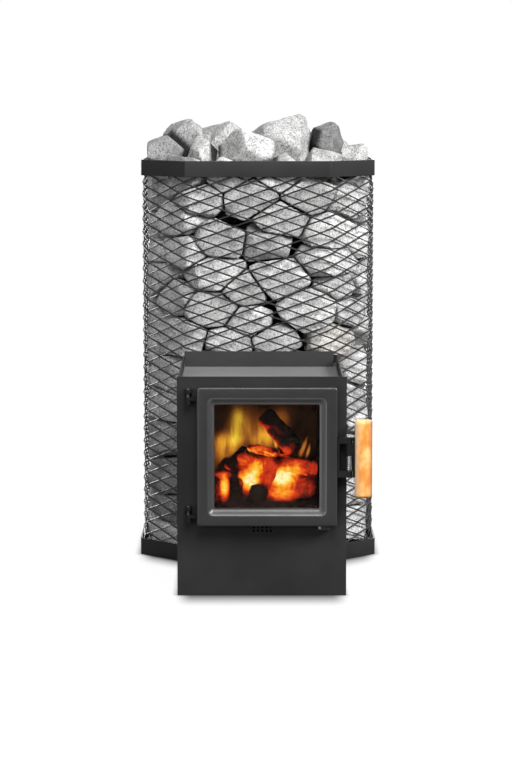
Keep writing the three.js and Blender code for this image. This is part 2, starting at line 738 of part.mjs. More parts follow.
// Latch: a bracket and pin on the door's edge, and a sprung lever with the wooden grip
const latchBottom = latchMiddle - latchHeight / 2;
const latchTop = latchMiddle + latchHeight / 2;
const latchHole = rod(
  latchX, latchY, latchPinRadius + clearance, latchBottom - latchEar, latchTop + latchEar, pinSides);
const latchReach = latchX - latchSide;
add('latch_bracket', cut(join(
  block(
    latchSide, latchSide + latchSidePlate, latchY - latchDepth / 2, latchY + latchDepth / 2,
    latchBottom, latchTop),
  lug(latchX, latchY, latchLugRadius, latchReach, Math.PI, latchBottom, latchBottom + latchEar),
  lug(latchX, latchY, latchLugRadius, latchReach, Math.PI, latchTop - latchEar, latchTop),
), latchHole), 'paint');
add('latch_pin', rod(
  latchX, latchY, latchPinRadius, latchBottom - latchPinProud, latchTop + latchPinProud, pinSides), 'steel');

const knuckleTop = latchTop - latchEar - clearance;
const knuckleBottom = knuckleTop - leverKnuckle;
const stripLeft = latchX + latchLugRadius + leverStripGap;
const stripRight = stripLeft + leverStrip;
const noseLeft = latchX - latchPast + leverNoseGap;
const gripLeft = stripRight + clearance;
const gripScrewTip = gripLeft + gripScrewShank;
const gripScrewHeights = [latchMiddle - gripScrewSpread, latchMiddle + gripScrewSpread];
const sideRod = (radius, x0, x1, z) => crossRod(0, 0, radius, x0, x1, screwSides)
  .rotateZ(-Math.PI / 2).translate(0, latchY, z);
const gripShankHoles = gripScrewHeights.map((z) => sideRod(
  screwShankRadius + clearance, stripLeft - clearance, gripScrewTip + clearance, z));
const gripHeadHoles = gripScrewHeights.map((z) => sideRod(
  screwHeadRadius + clearance, stripLeft - clearance, stripLeft + screwHeadHeight + clearance, z));
add('handle_lever', cut(join(
  block(stripLeft, stripRight, latchY - latchDepth / 2, latchY + latchDepth / 2, latchBottom, latchTop),
  lug(latchX, latchY, latchLugRadius, stripRight - latchX, 0, knuckleBottom, knuckleTop),
  block(
    noseLeft, noseLeft + leverNoseWidth, latchY, plateBack - plateThickness + leverNosePast,
    knuckleBottom + leverNoseTrim, knuckleTop - leverNoseTrim),
), latchHole, ...gripShankHoles, ...gripHeadHoles), 'paint');

const gripPlan = new THREE.Shape();
const gripFlat = gripWidth / 2 - gripDome;
const gripRound = gripCorner - gripDome;
gripPlan.absarc(gripFlat - gripRound, gripFlat - gripRound, gripRound, 0, Math.PI / 2);
gripPlan.absarc(-gripFlat + gripRound, gripFlat - gripRound, gripRound, Math.PI / 2, Math.PI);
gripPlan.absarc(-gripFlat + gripRound, -gripFlat + gripRound, gripRound, Math.PI, 1.5 * Math.PI);
gripPlan.absarc(gripFlat - gripRound, -gripFlat + gripRound, gripRound, 1.5 * Math.PI, 2 * Math.PI);
const gripBar = new THREE.ExtrudeGeometry(gripPlan, {
  depth: gripHeight - 2 * gripDome, bevelSize: gripDome, bevelThickness: gripDome,
  bevelSegments: 2, curveSegments: 4,
}).translate(gripLeft + gripWidth / 2, latchY, gripMiddle - gripHeight / 2 + gripDome);
add('handle_grip', cut(gripBar, ...gripShankHoles), 'wood');
gripScrewHeights.forEach((z, which) => {
  const shank = gripScrewTip - stripLeft - screwHeadHeight;
  const turned = screw(shank).rotateZ(Math.PI / 2).translate(gripScrewTip, latchY, z);
  add(`grip_screw_${which === 0 ? 'lower' : 'upper'}`, turned, 'steel');
});

// Return spring: one wire wound round the latch pin, with straight ends on the ear and the knuckle
function latchSpring() {
  const bottom = latchBottom + latchEar + clearance;
  const top = knuckleBottom - clearance;
  const rise = top - bottom - 2 * springWire;
  const steps = springTurns * springSteps;
  const path = [[0, bottom]];
  for (let step = 0; step <= steps; step += 1) {
    path.push([(2 * Math.PI * step) / springSteps, bottom + springWire + (rise * step) / steps]);
  }
  path.push([2 * Math.PI * springTurns, top]);
  const outward = path.map(([angle]) => new THREE.Vector3(Math.cos(angle), Math.sin(angle), 0));
  const points = path.map(([, z], i) => outward[i].clone().multiplyScalar(springMeanRadius).setZ(z));
  const last = points.length - 1;
  const positions = [];
  points.forEach((point, i) => {
    const along = points[Math.min(i + 1, last)].clone().sub(points[Math.max(i - 1, 0)]).normalize();
    const across = along.clone().cross(outward[i]).normalize();
    for (let side = 0; side < springSides; side += 1) {
      const angle = (2 * Math.PI * side) / springSides;
      const offset = outward[i].clone().multiplyScalar(Math.cos(angle));
      offset.addScaledVector(across, Math.sin(angle));
      positions.push(...point.clone().addScaledVector(offset, springWire / 2).toArray());
    }
  });
  const index = [];
  for (let i = 0; i < last; i += 1) {
    for (let side = 0; side < springSides; side += 1) {
      const next = (side + 1) % springSides;
      const [a, b] = [i * springSides + side, i * springSides + next];
      const [c, d] = [b + springSides, a + springSides];
      index.push(a, b, c, a, c, d);
    }
  }
  for (let side = 1; side < springSides - 1; side += 1) {
    index.push(0, side + 1, side);
    index.push(last * springSides, last * springSides + side, last * springSides + side + 1);
  }
  const geometry = new THREE.BufferGeometry();
  geometry.setAttribute('position', new THREE.Float32BufferAttribute(positions, 3));
  geometry.setIndex(index);
  const apart = points.flatMap((a, i) => points.slice(i + springSteps / 2).map((b) => a.distanceTo(b)));
  console.log('least gap of the latch spring to itself', (Math.min(...apart) - springWire).toFixed(2), 'mm');
  return geometry.translate(latchX, latchY, 0);
}
add('latch_spring', latchSpring(), 'steel');

// Stones: lumps joined over a core, trimmed to the space that they fill
function seededRandom(seed) {
  let state = seed;
  return () => {
    state = (state + 0x6d2b79f5) | 0;
    let mixed = Math.imul(state ^ (state >>> 15), 1 | state);
    mixed = (mixed + Math.imul(mixed ^ (mixed >>> 7), 61 | mixed)) ^ mixed;
    return ((mixed ^ (mixed >>> 14)) >>> 0) / 4294967296;
  };
}

const dot = (a, b) => a[0] * b[0] + a[1] * b[1] + a[2] * b[2];
const within = ([low, high], share) => low + (high - low) * share;

// Limits of the fill on the cage's eight sides
const fillSides = Array.from({ length: 8 }, (_, k) => {
  const turn = (k * Math.PI) / 4;
  const reach = (k % 2 ? cornerDistance : cageHalfWidth) - fillInset;
  return { normal: [Math.cos(turn), Math.sin(turn), 0], along: [-Math.sin(turn), Math.cos(turn), 0], reach };
});
const roomAt = (point) => Math.min(...fillSides.map(({ normal, reach }) => reach - dot(normal, point)));

// Boxes of the stove inside the cage, which no stone's middle comes near
const stoveBoxes = [
  [[fireboxLeft, fireboxRight], [fireboxFront, fireboxRear], [0, lidTop]],
  [[-smokeBoxWidth / 2, smokeBoxWidth / 2], [smokeBoxFront, smokeBoxRear], [smokeBoxBottom, smokeBoxTop]],
  [[-flueRadius, flueRadius], [flueStart, flueEnd], [flueHeight - flueRadius, flueHeight + flueRadius]],
];
const clearOfStove = (point) => stoveBoxes.every((box) => (
  box.some(([low, high], axis) => point[axis] < low - stoneRoom || point[axis] > high + stoneRoom)));

// Random points, kept where the cage leaves the wanted depth and no stone kept before is too near
function scatterStones(kept, spread, [least, most], lowest, random) {
  const heights = [lowest, cageHeight - stoneEdge];
  for (let i = 0; i < stoneTrials; i += 1) {
    const point = [fillHalf * (2 * random() - 1), fillHalf * (2 * random() - 1), within(heights, random())];
    const depth = roomAt(point);
    const apart = (other) => Math.hypot(
      point[0] - other[0], point[1] - other[1], stoneStretch * (point[2] - other[2])) > spread;
    if (depth > least && depth < most && clearOfStove(point) && kept.every(apart)) kept.push(point);
  }
}

function layStones() {
  const middles = heapStones.map(([x, y, top, , , half]) => [x, y, top - half]);
  const random = seededRandom(stoneSeed);
  scatterStones(middles, stoneSpread, stoneDepths, floorTop + stoneEdge, random);
  scatterStones(middles, innerSpread, innerDepths, lidTop + stoneEdge, random);
  return middles.map((middle, i) => {
    const draw = seededRandom(stoneSeed + 1 + i);
    const size = within(stoneSizes, draw());
    const heaped = i < heapStones.length;
    const half = heaped ? heapStones[i].slice(3) : stoneHalfSizes.map((value) => value * size);
    return { middle, half, heaped, draw, weight: ((half[0] + half[1] + half[2]) / 3) ** 2 };
  });
}
const stones = layStones();

// Broken faces: planes across directions that spiral from pole to pole, measured on the half sizes
function chipFaces({ half, draw }) {
  const start = 2 * Math.PI * draw();
  return Array.from({ length: stoneChips }, (_, k) => {
    const height = 1 - (2 * (k + draw())) / stoneChips;
    const turn = start + k * stoneChipTurn;
    const flat = Math.sqrt(1 - height * height);
    const normal = [flat * Math.cos(turn) / half[0], flat * Math.sin(turn) / half[1], height / half[2]];
    return { normal, reach: within(stoneChipReach, draw()) };
  });
}

// Planes half way to the near stones, shifted towards the smaller one
function neighbourFaces({ middle, weight }) {
  const faces = [];
  stones.forEach((other) => {
    const offset = other.middle.map((value, axis) => value - middle[axis]);
    const distance = Math.hypot(...offset);
    if (distance === 0 || distance > stoneNear) return;
    const normal = [offset[0], offset[1], offset[2] * stoneStretch ** 2];
    const half = dot(offset, normal) / 2;
    const shifted = Math.max(half + (weight - other.weight) * stoneSizePull, half * stoneShare);
    faces.push({ normal, reach: Math.max(shifted - stoneGap * Math.hypot(...normal), stoneLeast * half) });
  });
  return faces;
}

// The cage's near sides, each a little tilted and drawn back
function cageFaces({ middle, draw }) {
  const faces = [];
  fillSides.forEach(({ normal, along, reach }) => {
    const back = stoneRecess * draw();
    const [turned, raised] = [stoneTilt * (2 * draw() - 1), stoneTilt * (2 * draw() - 1)];
    const tilted = [normal[0] + turned * along[0], normal[1] + turned * along[1], raised];
    const room = reach - dot(normal, middle);
    if (room < stoneNear / 2) faces.push({ normal: tilted, reach: Math.max(room - back, stoneLeast * room) });
  });
  return faces;
}

// What of a block lies behind each face, measured from the stone's middle
function stoneSolid(stone) {
  const { middle, half, heaped } = stone;
  const reach = Math.max(...half) * stoneChipReach[1];
  const faces = chipFaces(stone);
  if (!heaped) faces.push(...cageFaces(stone), ...neighbourFaces(stone));
  const lump = faces.reduce((rest, face) => {
    const length = Math.hypot(...face.normal);
    return rest.trimByPlane(face.normal.map((value) => -value / length), -face.reach / length);
  }, solidOf(block(-reach, reach, -reach, reach, -reach, reach)));
  if (!heaped) return lump.translate(middle);
  const { min, max } = lump.boundingBox();
  const centred = lump.translate(min.map((value, axis) => -(value + max[axis]) / 2));
  return centred.scale(half.map((value, axis) => (2 * value) / (max[axis] - min[axis]))).translate(middle);
}
const stoneSolids = stones.map(stoneSolid);

// The largest closed skin of a geometry, without stray lumps or sealed hollows
function outerSkin(geometry) {
  const index = Array.from(geometry.index.array);
  const parent = Array.from({ length: geometry.attributes.position.count }, (_, i) => i);
  const root = (i) => {
    let at = i;
    while (parent[at] !== at) at = parent[at];
    parent[i] = at;
    return at;
  };
  for (let i = 0; i < index.length; i += 3) {
    parent[root(index[i + 1])] = root(index[i]);
    parent[root(index[i + 2])] = root(index[i]);
  }
  const sizes = new Map();
  index.forEach((vertex) => sizes.set(root(vertex), (sizes.get(root(vertex)) || 0) + 1));
  const [keep] = [...sizes.entries()].reduce((best, entry) => (entry[1] > best[1] ? entry : best));
  const skin = geometry.clone();
  skin.setIndex(index.filter((vertex) => root(vertex) === keep));
  return skin;
}

// The part of a box that lies inside the cage
function caged(inset, box) {
  return solidOf(prism(octagon(inset), box[4], box[5])).intersect(solidOf(block(...box)));
}

function stoneFill([x0, x1], [y0, y1], [z0, z1], top = z1) {
  const space = caged(fillInset, [x0, x1, y0, y1, z0, z1]);
  const core = caged(fillInset + stoneCore, [
    x0 + stoneCore, x1 - stoneCore, y0 + stoneCore, y1 - stoneCore, z0, top - stoneCore]);
  const whole = stoneSolids.reduce((joined, lump) => {
    const part = lump.intersect(space);
    return part.isEmpty() ? joined : joined.add(part);
  }, core);
  return outerSkin(geometryOf(whole));
}

const sideLeft = [-fillHalf, fireboxLeft - clearance];
const sideRight = [fireboxRight + clearance, fillHalf];
const between = [fireboxLeft, fireboxRight];
const fullDepth = [-fillHalf, fillHalf];
const sideTier = [floorTop, smokeBoxTop];
add('stones_left', stoneFill(sideLeft, fullDepth, sideTier), 'stone');
add('stones_right', stoneFill(sideRight, fullDepth, sideTier), 'stone');
const rearTier = [floorTop, flueHeight - flueRadius - clearance];
add('stones_rear', stoneFill(between, [fireboxRear + clearance, fillHalf], rearTier), 'stone');
const frontTier = [Math.max(lidTop, ductTop) + clearance, smokeBoxTop];
add('stones_front', stoneFill(between, [-fillHalf, smokeBoxFront - clearance], frontTier), 'stone');
const heapTier = [smokeBoxTop + clearance, heapTop];
add('stones_top', stoneFill(fullDepth, fullDepth, heapTier, cageHeight), 'stone');

export default heater;
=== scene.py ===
import math
import bmesh
import bpy
import numpy as np
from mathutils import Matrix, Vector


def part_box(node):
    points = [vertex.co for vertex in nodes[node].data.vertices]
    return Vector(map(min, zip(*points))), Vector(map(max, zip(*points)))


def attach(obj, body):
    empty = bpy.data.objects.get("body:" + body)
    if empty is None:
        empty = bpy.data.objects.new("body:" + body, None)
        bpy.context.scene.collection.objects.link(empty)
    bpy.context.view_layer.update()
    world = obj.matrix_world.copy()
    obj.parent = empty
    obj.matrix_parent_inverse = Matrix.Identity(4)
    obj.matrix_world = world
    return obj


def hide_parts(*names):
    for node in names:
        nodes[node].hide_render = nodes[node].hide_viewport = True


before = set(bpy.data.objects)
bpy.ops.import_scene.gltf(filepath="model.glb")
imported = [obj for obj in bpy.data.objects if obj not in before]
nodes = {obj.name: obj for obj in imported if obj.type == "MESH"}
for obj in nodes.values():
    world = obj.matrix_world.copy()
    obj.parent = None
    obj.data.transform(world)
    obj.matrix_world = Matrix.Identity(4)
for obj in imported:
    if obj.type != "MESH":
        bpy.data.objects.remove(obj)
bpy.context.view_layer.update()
scene = bpy.context.scene
scene.view_settings.view_transform = "Standard"


# Mesh tools: a shell is its points and a list of face arrays

def boxOf(node):
    low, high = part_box(node)
    return np.array(low), np.array(high)


# Quads of a ruled grid with countU rows and countV columns; a closed direction wraps round
def gridFaces(countU, countV, closeU=False, closeV=False):
    u = np.arange(countU if closeU else countU - 1)
    v = np.arange(countV if closeV else countV - 1)
    u, v = [a.ravel() for a in np.meshgrid(u, v, indexing="ij")]
    nextU, nextV = (u + 1) % countU, (v + 1) % countV
    return np.stack([u * countV + v, nextU * countV + v, nextU * countV + nextV, u * countV + nextV], 1)


# One grid's quads repeated for a number of equal grids that follow each other
def repeatFaces(faces, pointsEach, copies):
    return (faces[None] + pointsEach * np.arange(copies)[:, None, None]).reshape(-1, faces.shape[1])


def gather(shells):
    points, faces, start = [], [], 0
    for shellPoints, shellFaces in shells:
        flat = np.asarray(shellPoints, float).reshape(-1, 3)
        for block in shellFaces:
            faces.extend((np.asarray(block) + start).tolist())
        points.append(flat)
        start += len(flat)
    return np.concatenate(points), faces


# tidy merges shared points, closes small open ends and turns the faces outwards
def makePiece(name, shells, finish, body, stands=(), sharp=180, tidy=True, fillEnds=0):
    points, faces = gather(shells)
    mesh = bpy.data.meshes.new(name)
    mesh.from_pydata(points.tolist(), [], faces)
    if tidy:
        work = bmesh.new()
        work.from_mesh(mesh)
        bmesh.ops.remove_doubles(work, verts=work.verts, dist=2e-6)
        if fillEnds:
            bmesh.ops.holes_fill(work, edges=work.edges, sides=fillEnds)
        bmesh.ops.recalc_face_normals(work, faces=work.faces)
        work.to_mesh(mesh)
        work.free()
    mesh.shade_smooth()
    if sharp < 180:
        mesh.set_sharp_from_angle(angle=math.radians(sharp))
    mesh.materials.append(finish)
    piece = bpy.data.objects.new(name, mesh)
    scene.collection.objects.link(piece)
    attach(piece, body)
    if stands:
        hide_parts(*stands)
    return piece


def roundEdges(piece, width, segments=3, angle=35):
    bevel = piece.modifiers.new("roundEdges", "BEVEL")
    bevel.width = width
    bevel.segments = segments
    bevel.limit_method = "ANGLE"
    bevel.angle_limit = math.radians(angle)
    bevel.harden_normals = True
    return piece


# The wall grows from the drawn face against its normal
def thicken(piece, wall):
    solidify = piece.modifiers.new("wall", "SOLIDIFY")
    solidify.thickness = wall
    solidify.offset = -1
    solidify.use_even_offset = True
    return piece


def setPointValues(piece, name, values):
    layer = piece.data.attributes.new(name, "FLOAT", "POINT")
    layer.data.foreach_set("value", np.asarray(values, np.float32))


# Prism: an outline across one axis, carried along that axis from low to high, with flat ends
def slab(outline, low, high, axis):
    outline = np.asarray(outline, float)
    count = len(outline)
    points = np.zeros((2, count, 3))
    across = [k for k in range(3) if k != axis]
    points[:, :, across] = outline
    points[0, :, axis], points[1, :, axis] = low, high
    ends = np.stack([np.arange(count)[::-1], count + np.arange(count)])
    return points, [gridFaces(2, count, closeV=True), ends]


def brick(low, high):
    (x0, y0, z0), (x1, y1, z1) = low, high
    return slab([(x0, y0), (x1, y0), (x1, y1), (x0, y1)], z0, z1, 2)


# Half circle round a pin, closed by straight sides that reach away from it at an angle
def lugOutline(pin, radius, reach, angle, steps=14):
    turn = np.linspace(0.5 * np.pi, 1.5 * np.pi, steps)
    points = np.stack([radius * np.cos(turn), radius * np.sin(turn)], 1)
    far = np.stack([np.full(7, reach), np.linspace(-radius, radius, 7)], 1)
    points = np.concatenate([points, far])
    c, s = math.cos(angle), math.sin(angle)
    return points @ np.array([[c, s], [-s, c]]) + np.asarray(pin)


# Rows of radius and height turned about an axis through a point
def turned(profile, centre, axis, steps=40):
    radius, height = np.asarray(profile, float).T
    angle = np.linspace(0, 2 * np.pi, steps, endpoint=False)
    first, second = [k for k in range(3) if k != axis]
    points = np.zeros((len(radius), steps, 3))
    points[..., first] = radius[:, None] * np.cos(angle)
    points[..., second] = radius[:, None] * np.sin(angle)
    points[..., axis] = height[:, None]
    return points + np.asarray(centre), [gridFaces(len(radius), steps, closeV=True)]


# Section rows of inset, y and corner radius, each carried round a rectangle with round corners
def frameLoft(section, centre, half, steps=8):
    inset, y, radius = [column[:, None] for column in np.asarray(section, float).T]
    angle = np.concatenate([np.linspace(0, np.pi / 2, steps) + k * np.pi / 2 for k in range(4)])
    signX = np.repeat([1, -1, -1, 1], steps)
    signZ = np.repeat([1, 1, -1, -1], steps)
    x = centre[0] + signX * (half[0] - inset - radius) + radius * np.cos(angle)
    z = centre[1] + signZ * (half[1] - inset - radius) + radius * np.sin(angle)
    points = np.stack([x, np.broadcast_to(y, x.shape), z], -1)
    return points, [gridFaces(len(inset), 4 * steps, closeU=True, closeV=True)]


# Points on a circular arc in a section, from one angle to another in degrees
def arc(centre, radius, start, end, steps):
    angle = np.radians(np.linspace(start, end, steps))
    return np.stack([centre[0] + radius * np.cos(angle), centre[1] + radius * np.sin(angle)], 1)


# Value noise from -1 to 1: hashed values at the corners of a cubic lattice, blended by a smooth step
def latticeNoise(points, size, seed):
    scaled = np.asarray(points) / size + 1000.0
    cell = np.floor(scaled).astype(np.int64)
    t = scaled - cell
    t = t * t * (3 - 2 * t)
    total = 0.0
    for corner in range(8):
        bits = np.array([corner & 1, corner >> 1 & 1, corner >> 2 & 1])
        at = cell + bits
        hashed = (at[..., 0] * 374761393 + at[..., 1] * 668265263 + at[..., 2] * 2246822519 + seed * 3266489917)
        hashed = ((hashed ^ (hashed >> 13)) * 1274126177) & 0x7FFFFFFF
        value = ((hashed ^ (hashed >> 16)) & 0xFFFF) / 65535.0
        total = total + value * np.prod(np.where(bits, t, 1 - t), axis=-1)
    return 2 * total - 1


# Unit directions on six square grids whose shared edges are one set of points
def ballGrid(count):
    t = np.tan(np.linspace(-np.pi / 4, np.pi / 4, count + 1))
    a, b = np.meshgrid(t, t, indexing="ij")
    one = np.ones_like(a)
    sides = [(one, a, b), (-one, b, a), (b, one, a), (a, -one, b), (a, b, one), (b, a, -one)]
    points = np.concatenate([np.stack(side, -1).reshape(-1, 3) for side in sides])
    faces = repeatFaces(gridFaces(count + 1, count + 1), (count + 1) ** 2, 6)
    keys, shared = np.unique(np.round(points * 1e6).astype(np.int64), axis=0, return_inverse=True)
    corners = keys / 1e6
    return corners / np.linalg.norm(corners, axis=1, keepdims=True), shared.reshape(-1)[faces]


# Finishes: node materials on Object coordinates

def tone(level):
    value = level / 255
    return value / 12.92 if value <= 0.04045 else ((value + 0.055) / 1.055) ** 2.4


def colour(red, green, blue):
    return (tone(red), tone(green), tone(blue), 1)


class Finish:
    def __init__(self, name):
        self.material = bpy.data.materials.new(name)
        self.material.use_nodes = True
        self.tree = self.material.node_tree
        self.shader = self.tree.nodes["Principled BSDF"]
        self.output = self.tree.nodes["Material Output"]
        self.place = self.node("ShaderNodeTexCoord").outputs["Object"]

    def node(self, kind, **settings):
        made = self.tree.nodes.new(kind)
        for key, value in settings.items():
            setattr(made, key, value)
        return made

    def link(self, source, target):
        self.tree.links.new(source, target)

    def fill(self, socket, value):
        if isinstance(value, bpy.types.NodeSocket):
            self.link(value, socket)
        else:
            socket.default_value = value

    def set(self, **values):
        for key, value in values.items():
            self.fill(self.shader.inputs[key.replace("_", " ")], value)

    # Object coordinates stretched by a scale for each axis
    def stretched(self, scale, source=None):
        mapping = self.node("ShaderNodeMapping")
        mapping.inputs["Scale"].default_value = scale
        self.link(source or self.place, mapping.inputs["Vector"])
        return mapping.outputs["Vector"]

    def noise(self, scale, detail=4.0, rough=0.55, source=None):
        made = self.node("ShaderNodeTexNoise")
        made.inputs["Scale"].default_value = scale
        made.inputs["Detail"].default_value = detail
        made.inputs["Roughness"].default_value = rough
        self.link(source or self.place, made.inputs["Vector"])
        return made.outputs["Fac"]

    def cells(self, scale, feature="F1", output="Distance", source=None, jitter=1.0):
        made = self.node("ShaderNodeTexVoronoi", feature=feature)
        made.inputs["Scale"].default_value = scale
        made.inputs["Randomness"].default_value = jitter
        self.link(source or self.place, made.inputs["Vector"])
        return made.outputs[output]

    def ramp(self, factor, *stops, ease="LINEAR"):
        made = self.node("ShaderNodeValToRGB")
        made.color_ramp.interpolation = ease
        elements = made.color_ramp.elements
        elements[0].position, elements[1].position = stops[0][0], stops[-1][0]
        elements[0].color, elements[1].color = stops[0][1], stops[-1][1]
        for position, value in stops[1:-1]:
            elements.new(position).color = value
        self.link(factor, made.inputs["Fac"])
        return made.outputs["Color"]

    def remap(self, factor, low, high, toLow, toHigh):
        made = self.node("ShaderNodeMapRange")
        for key, value in zip(("From Min", "From Max", "To Min", "To Max"), (low, high, toLow, toHigh)):
            made.inputs[key].default_value = value
        self.link(factor, made.inputs["Value"])
        return made.outputs["Result"]

    def sum(self, operation, first, second):
        made = self.node("ShaderNodeMath", operation=operation)
        self.fill(made.inputs[0], first)
        self.fill(made.inputs[1], second)
        return made.outputs["Value"]

    def mix(self, factor, first, second, blend="MIX"):
        made = self.node("ShaderNodeMix", data_type="RGBA", blend_type=blend)
        self.fill(made.inputs["Factor"], factor)
        self.fill(made.inputs[6], first)
        self.fill(made.inputs[7], second)
        return made.outputs[2]

    def bump(self, height, strength, distance):
        made = self.node("ShaderNodeBump")
        made.inputs["Strength"].default_value = strength
        made.inputs["Distance"].default_value = distance
        self.link(height, made.inputs["Height"])
        self.link(made.outputs["Normal"], self.shader.inputs["Normal"])

    def value(self, name):
        made = self.node("ShaderNodeAttribute", attribute_name=name)
        return made.outputs["Fac"]

    def parts(self, source=None):
        made = self.node("ShaderNodeSeparateXYZ")
        self.link(source or self.place, made.inputs["Vector"])
        return [made.outputs[k] for k in "XYZ"]


# Satin heat-proof paint: charcoal with a faint cloudiness and a fine orange-peel skin
def makePaint(name, level, roughness, gloss=0.1):
    paint = Finish(name)
    cloud = paint.noise(9.0, 3.0)
    dust = paint.noise(160.0, 2.0)
    dark, light = colour(level - 4, level - 4, level - 4), colour(level + 4, level + 4, level + 5)
    shade = paint.ramp(cloud, (0.3, dark), (0.7, light))
    paint.set(Base_Color=shade, Roughness=paint.remap(dust, 0.3, 0.7, roughness - 0.05, roughness + 0.07))
    paint.set(Specular_IOR_Level=gloss)
    paint.bump(paint.noise(1400.0, 2.0), 0.10, 0.0004)
    return paint.material


# The door's paint, made paler in the cove round the window: a painted sheen, set for each side
def makeDoorPaint():
    paint = Finish("doorPaint")
    cloud = paint.noise(9.0, 3.0)
    flat = paint.ramp(cloud, (0.3, colour(29, 29, 29)), (0.7, colour(36, 36, 37)))
    # Paler tone for the painted sheen in the cove round the window
    sheenTone = paint.ramp(cloud, (0.3, colour(78, 78, 78)), (0.7, colour(86, 86, 86)))
    paint.set(Base_Color=paint.mix(paint.value("cove"), flat, sheenTone))
    paint.set(Roughness=paint.remap(paint.noise(160.0, 2.0), 0.3, 0.7, 0.3, 0.4), Specular_IOR_Level=0.45)
    paint.bump(paint.noise(1400.0, 2.0), 0.10, 0.0004)
    return paint.material


# Cut and stretched sheet steel: dark grey with lighter rubbed patches
def makeMeshSteel():
    steel = Finish("meshSteel")
    patch = steel.noise(34.0, 4.0)
    grit = steel.noise(700.0, 2.0)
    steel.set(Base_Color=steel.ramp(patch, (0.32, colour(22, 22, 22)), (0.72, colour(42, 42, 42))))
    steel.set(Roughness=steel.remap(grit, 0.3, 0.7, 0.32, 0.46), Specular_IOR_Level=0.5)
    steel.bump(grit, 0.15, 0.0005)
    return steel.material


# Rolled plate darkened by heat, with rusty clouds and pitted scale
def makeRawPlate():
    plate = Finish("rawPlate")
    cloud = plate.noise(14.0, 6.0, 0.6)
    scale = plate.noise(260.0, 4.0)
    plate.set(Base_Color=plate.ramp(
        cloud, (0.3, colour(44, 42, 41)), (0.55, colour(62, 58, 56)), (0.75, colour(84, 70, 60))))
    plate.set(Roughness=plate.remap(scale, 0.3, 0.7, 0.55, 0.75), Metallic=0.3)
    plate.bump(scale, 0.25, 0.001)
    return plate.material


# Sand-cast iron: near black with a granular skin
def makeCastIron():
    iron = Finish("castIron")
    grain = iron.noise(420.0, 5.0, 0.65)
    soot = iron.noise(12.0, 4.0)
    iron.set(Base_Color=iron.ramp(soot, (0.3, colour(34, 33, 33)), (0.7, colour(56, 54, 52))))
    iron.set(Roughness=iron.remap(grain, 0.3, 0.7, 0.65, 0.85), Metallic=0.2)
    iron.bump(grain, 0.5, 0.0012)
    return iron.material


# Refractory brick: tan, porous, sooted in clouds
def makeFirebrick():
    clay = Finish("firebrick")
    soot = clay.noise(7.0, 5.0, 0.6)
    pores = clay.cells(300.0)
    body = clay.ramp(soot, (0.35, colour(60, 48, 40)), (0.6, colour(176, 146, 116)), (0.8, colour(196, 168, 138)))
    clay.set(Base_Color=clay.mix(clay.remap(pores, 0.1, 0.35, 0.45, 0.0), body, colour(70, 56, 46)), Roughness=0.93)
    clay.bump(clay.remap(pores, 0.0, 0.4, 0.0, 1.0), 0.5, 0.0015)
    return clay.material


# Zinc-bright steel with fine streaks along one axis
def makeBareSteel():
    bright = Finish("bareSteel")
    streak = bright.noise(60.0, 4.0, 0.6, bright.stretched((1, 1, 14)))
    spot = bright.noise(90.0, 3.0)
    bright.set(Base_Color=bright.ramp(spot, (0.3, colour(150, 150, 150)), (0.7, colour(196, 197, 199))), Metallic=0.9)
    bright.set(Roughness=bright.remap(streak, 0.3, 0.7, 0.24, 0.42))
    bright.bump(streak, 0.1, 0.0005)
    return bright.material


# Braided mineral rope: two crossing sets of ridges on the piece's own UV map
def makeSealRope():
    rope = Finish("sealRope")
    along = rope.node("ShaderNodeUVMap", uv_map="wind").outputs["UV"]
    ridges = []
    for turn in (0.7, -0.7):
        mapping = rope.node("ShaderNodeMapping")
        mapping.inputs["Rotation"].default_value = (0, 0, turn)
        rope.link(along, mapping.inputs["Vector"])
        wave = rope.node("ShaderNodeTexWave", bands_direction="X")
        wave.inputs["Scale"].default_value = 90.0
        wave.inputs["Distortion"].default_value = 0.6
        rope.link(mapping.outputs["Vector"], wave.inputs["Vector"])
        ridges.append(wave.outputs["Fac"])
    braid = rope.sum("MAXIMUM", *ridges)
    soot = rope.noise(18.0, 4.0)
    base = rope.ramp(soot, (0.3, colour(74, 71, 66)), (0.7, colour(140, 136, 126)))
    rope.set(Base_Color=rope.mix(rope.remap(braid, 0.2, 0.9, 0.55, 0.0), base, colour(38, 36, 34)), Roughness=0.95)
    rope.bump(braid, 0.6, 0.0012)
    return rope.material


# Ceramic fire glass: clear, faintly smoked in clouds
def makeFireGlass():
    glass = Finish("fireGlass")
    haze = glass.noise(16.0, 3.0)
    glass.set(Base_Color=glass.ramp(haze, (0.3, (0.93, 0.91, 0.88, 1)), (0.7, (0.98, 0.97, 0.95, 1))))
    glass.set(Roughness=glass.remap(haze, 0.3, 0.8, 0.0, 0.04), IOR=1.12)
    glass.set(Transmission_Weight=1.0)
    return glass.material


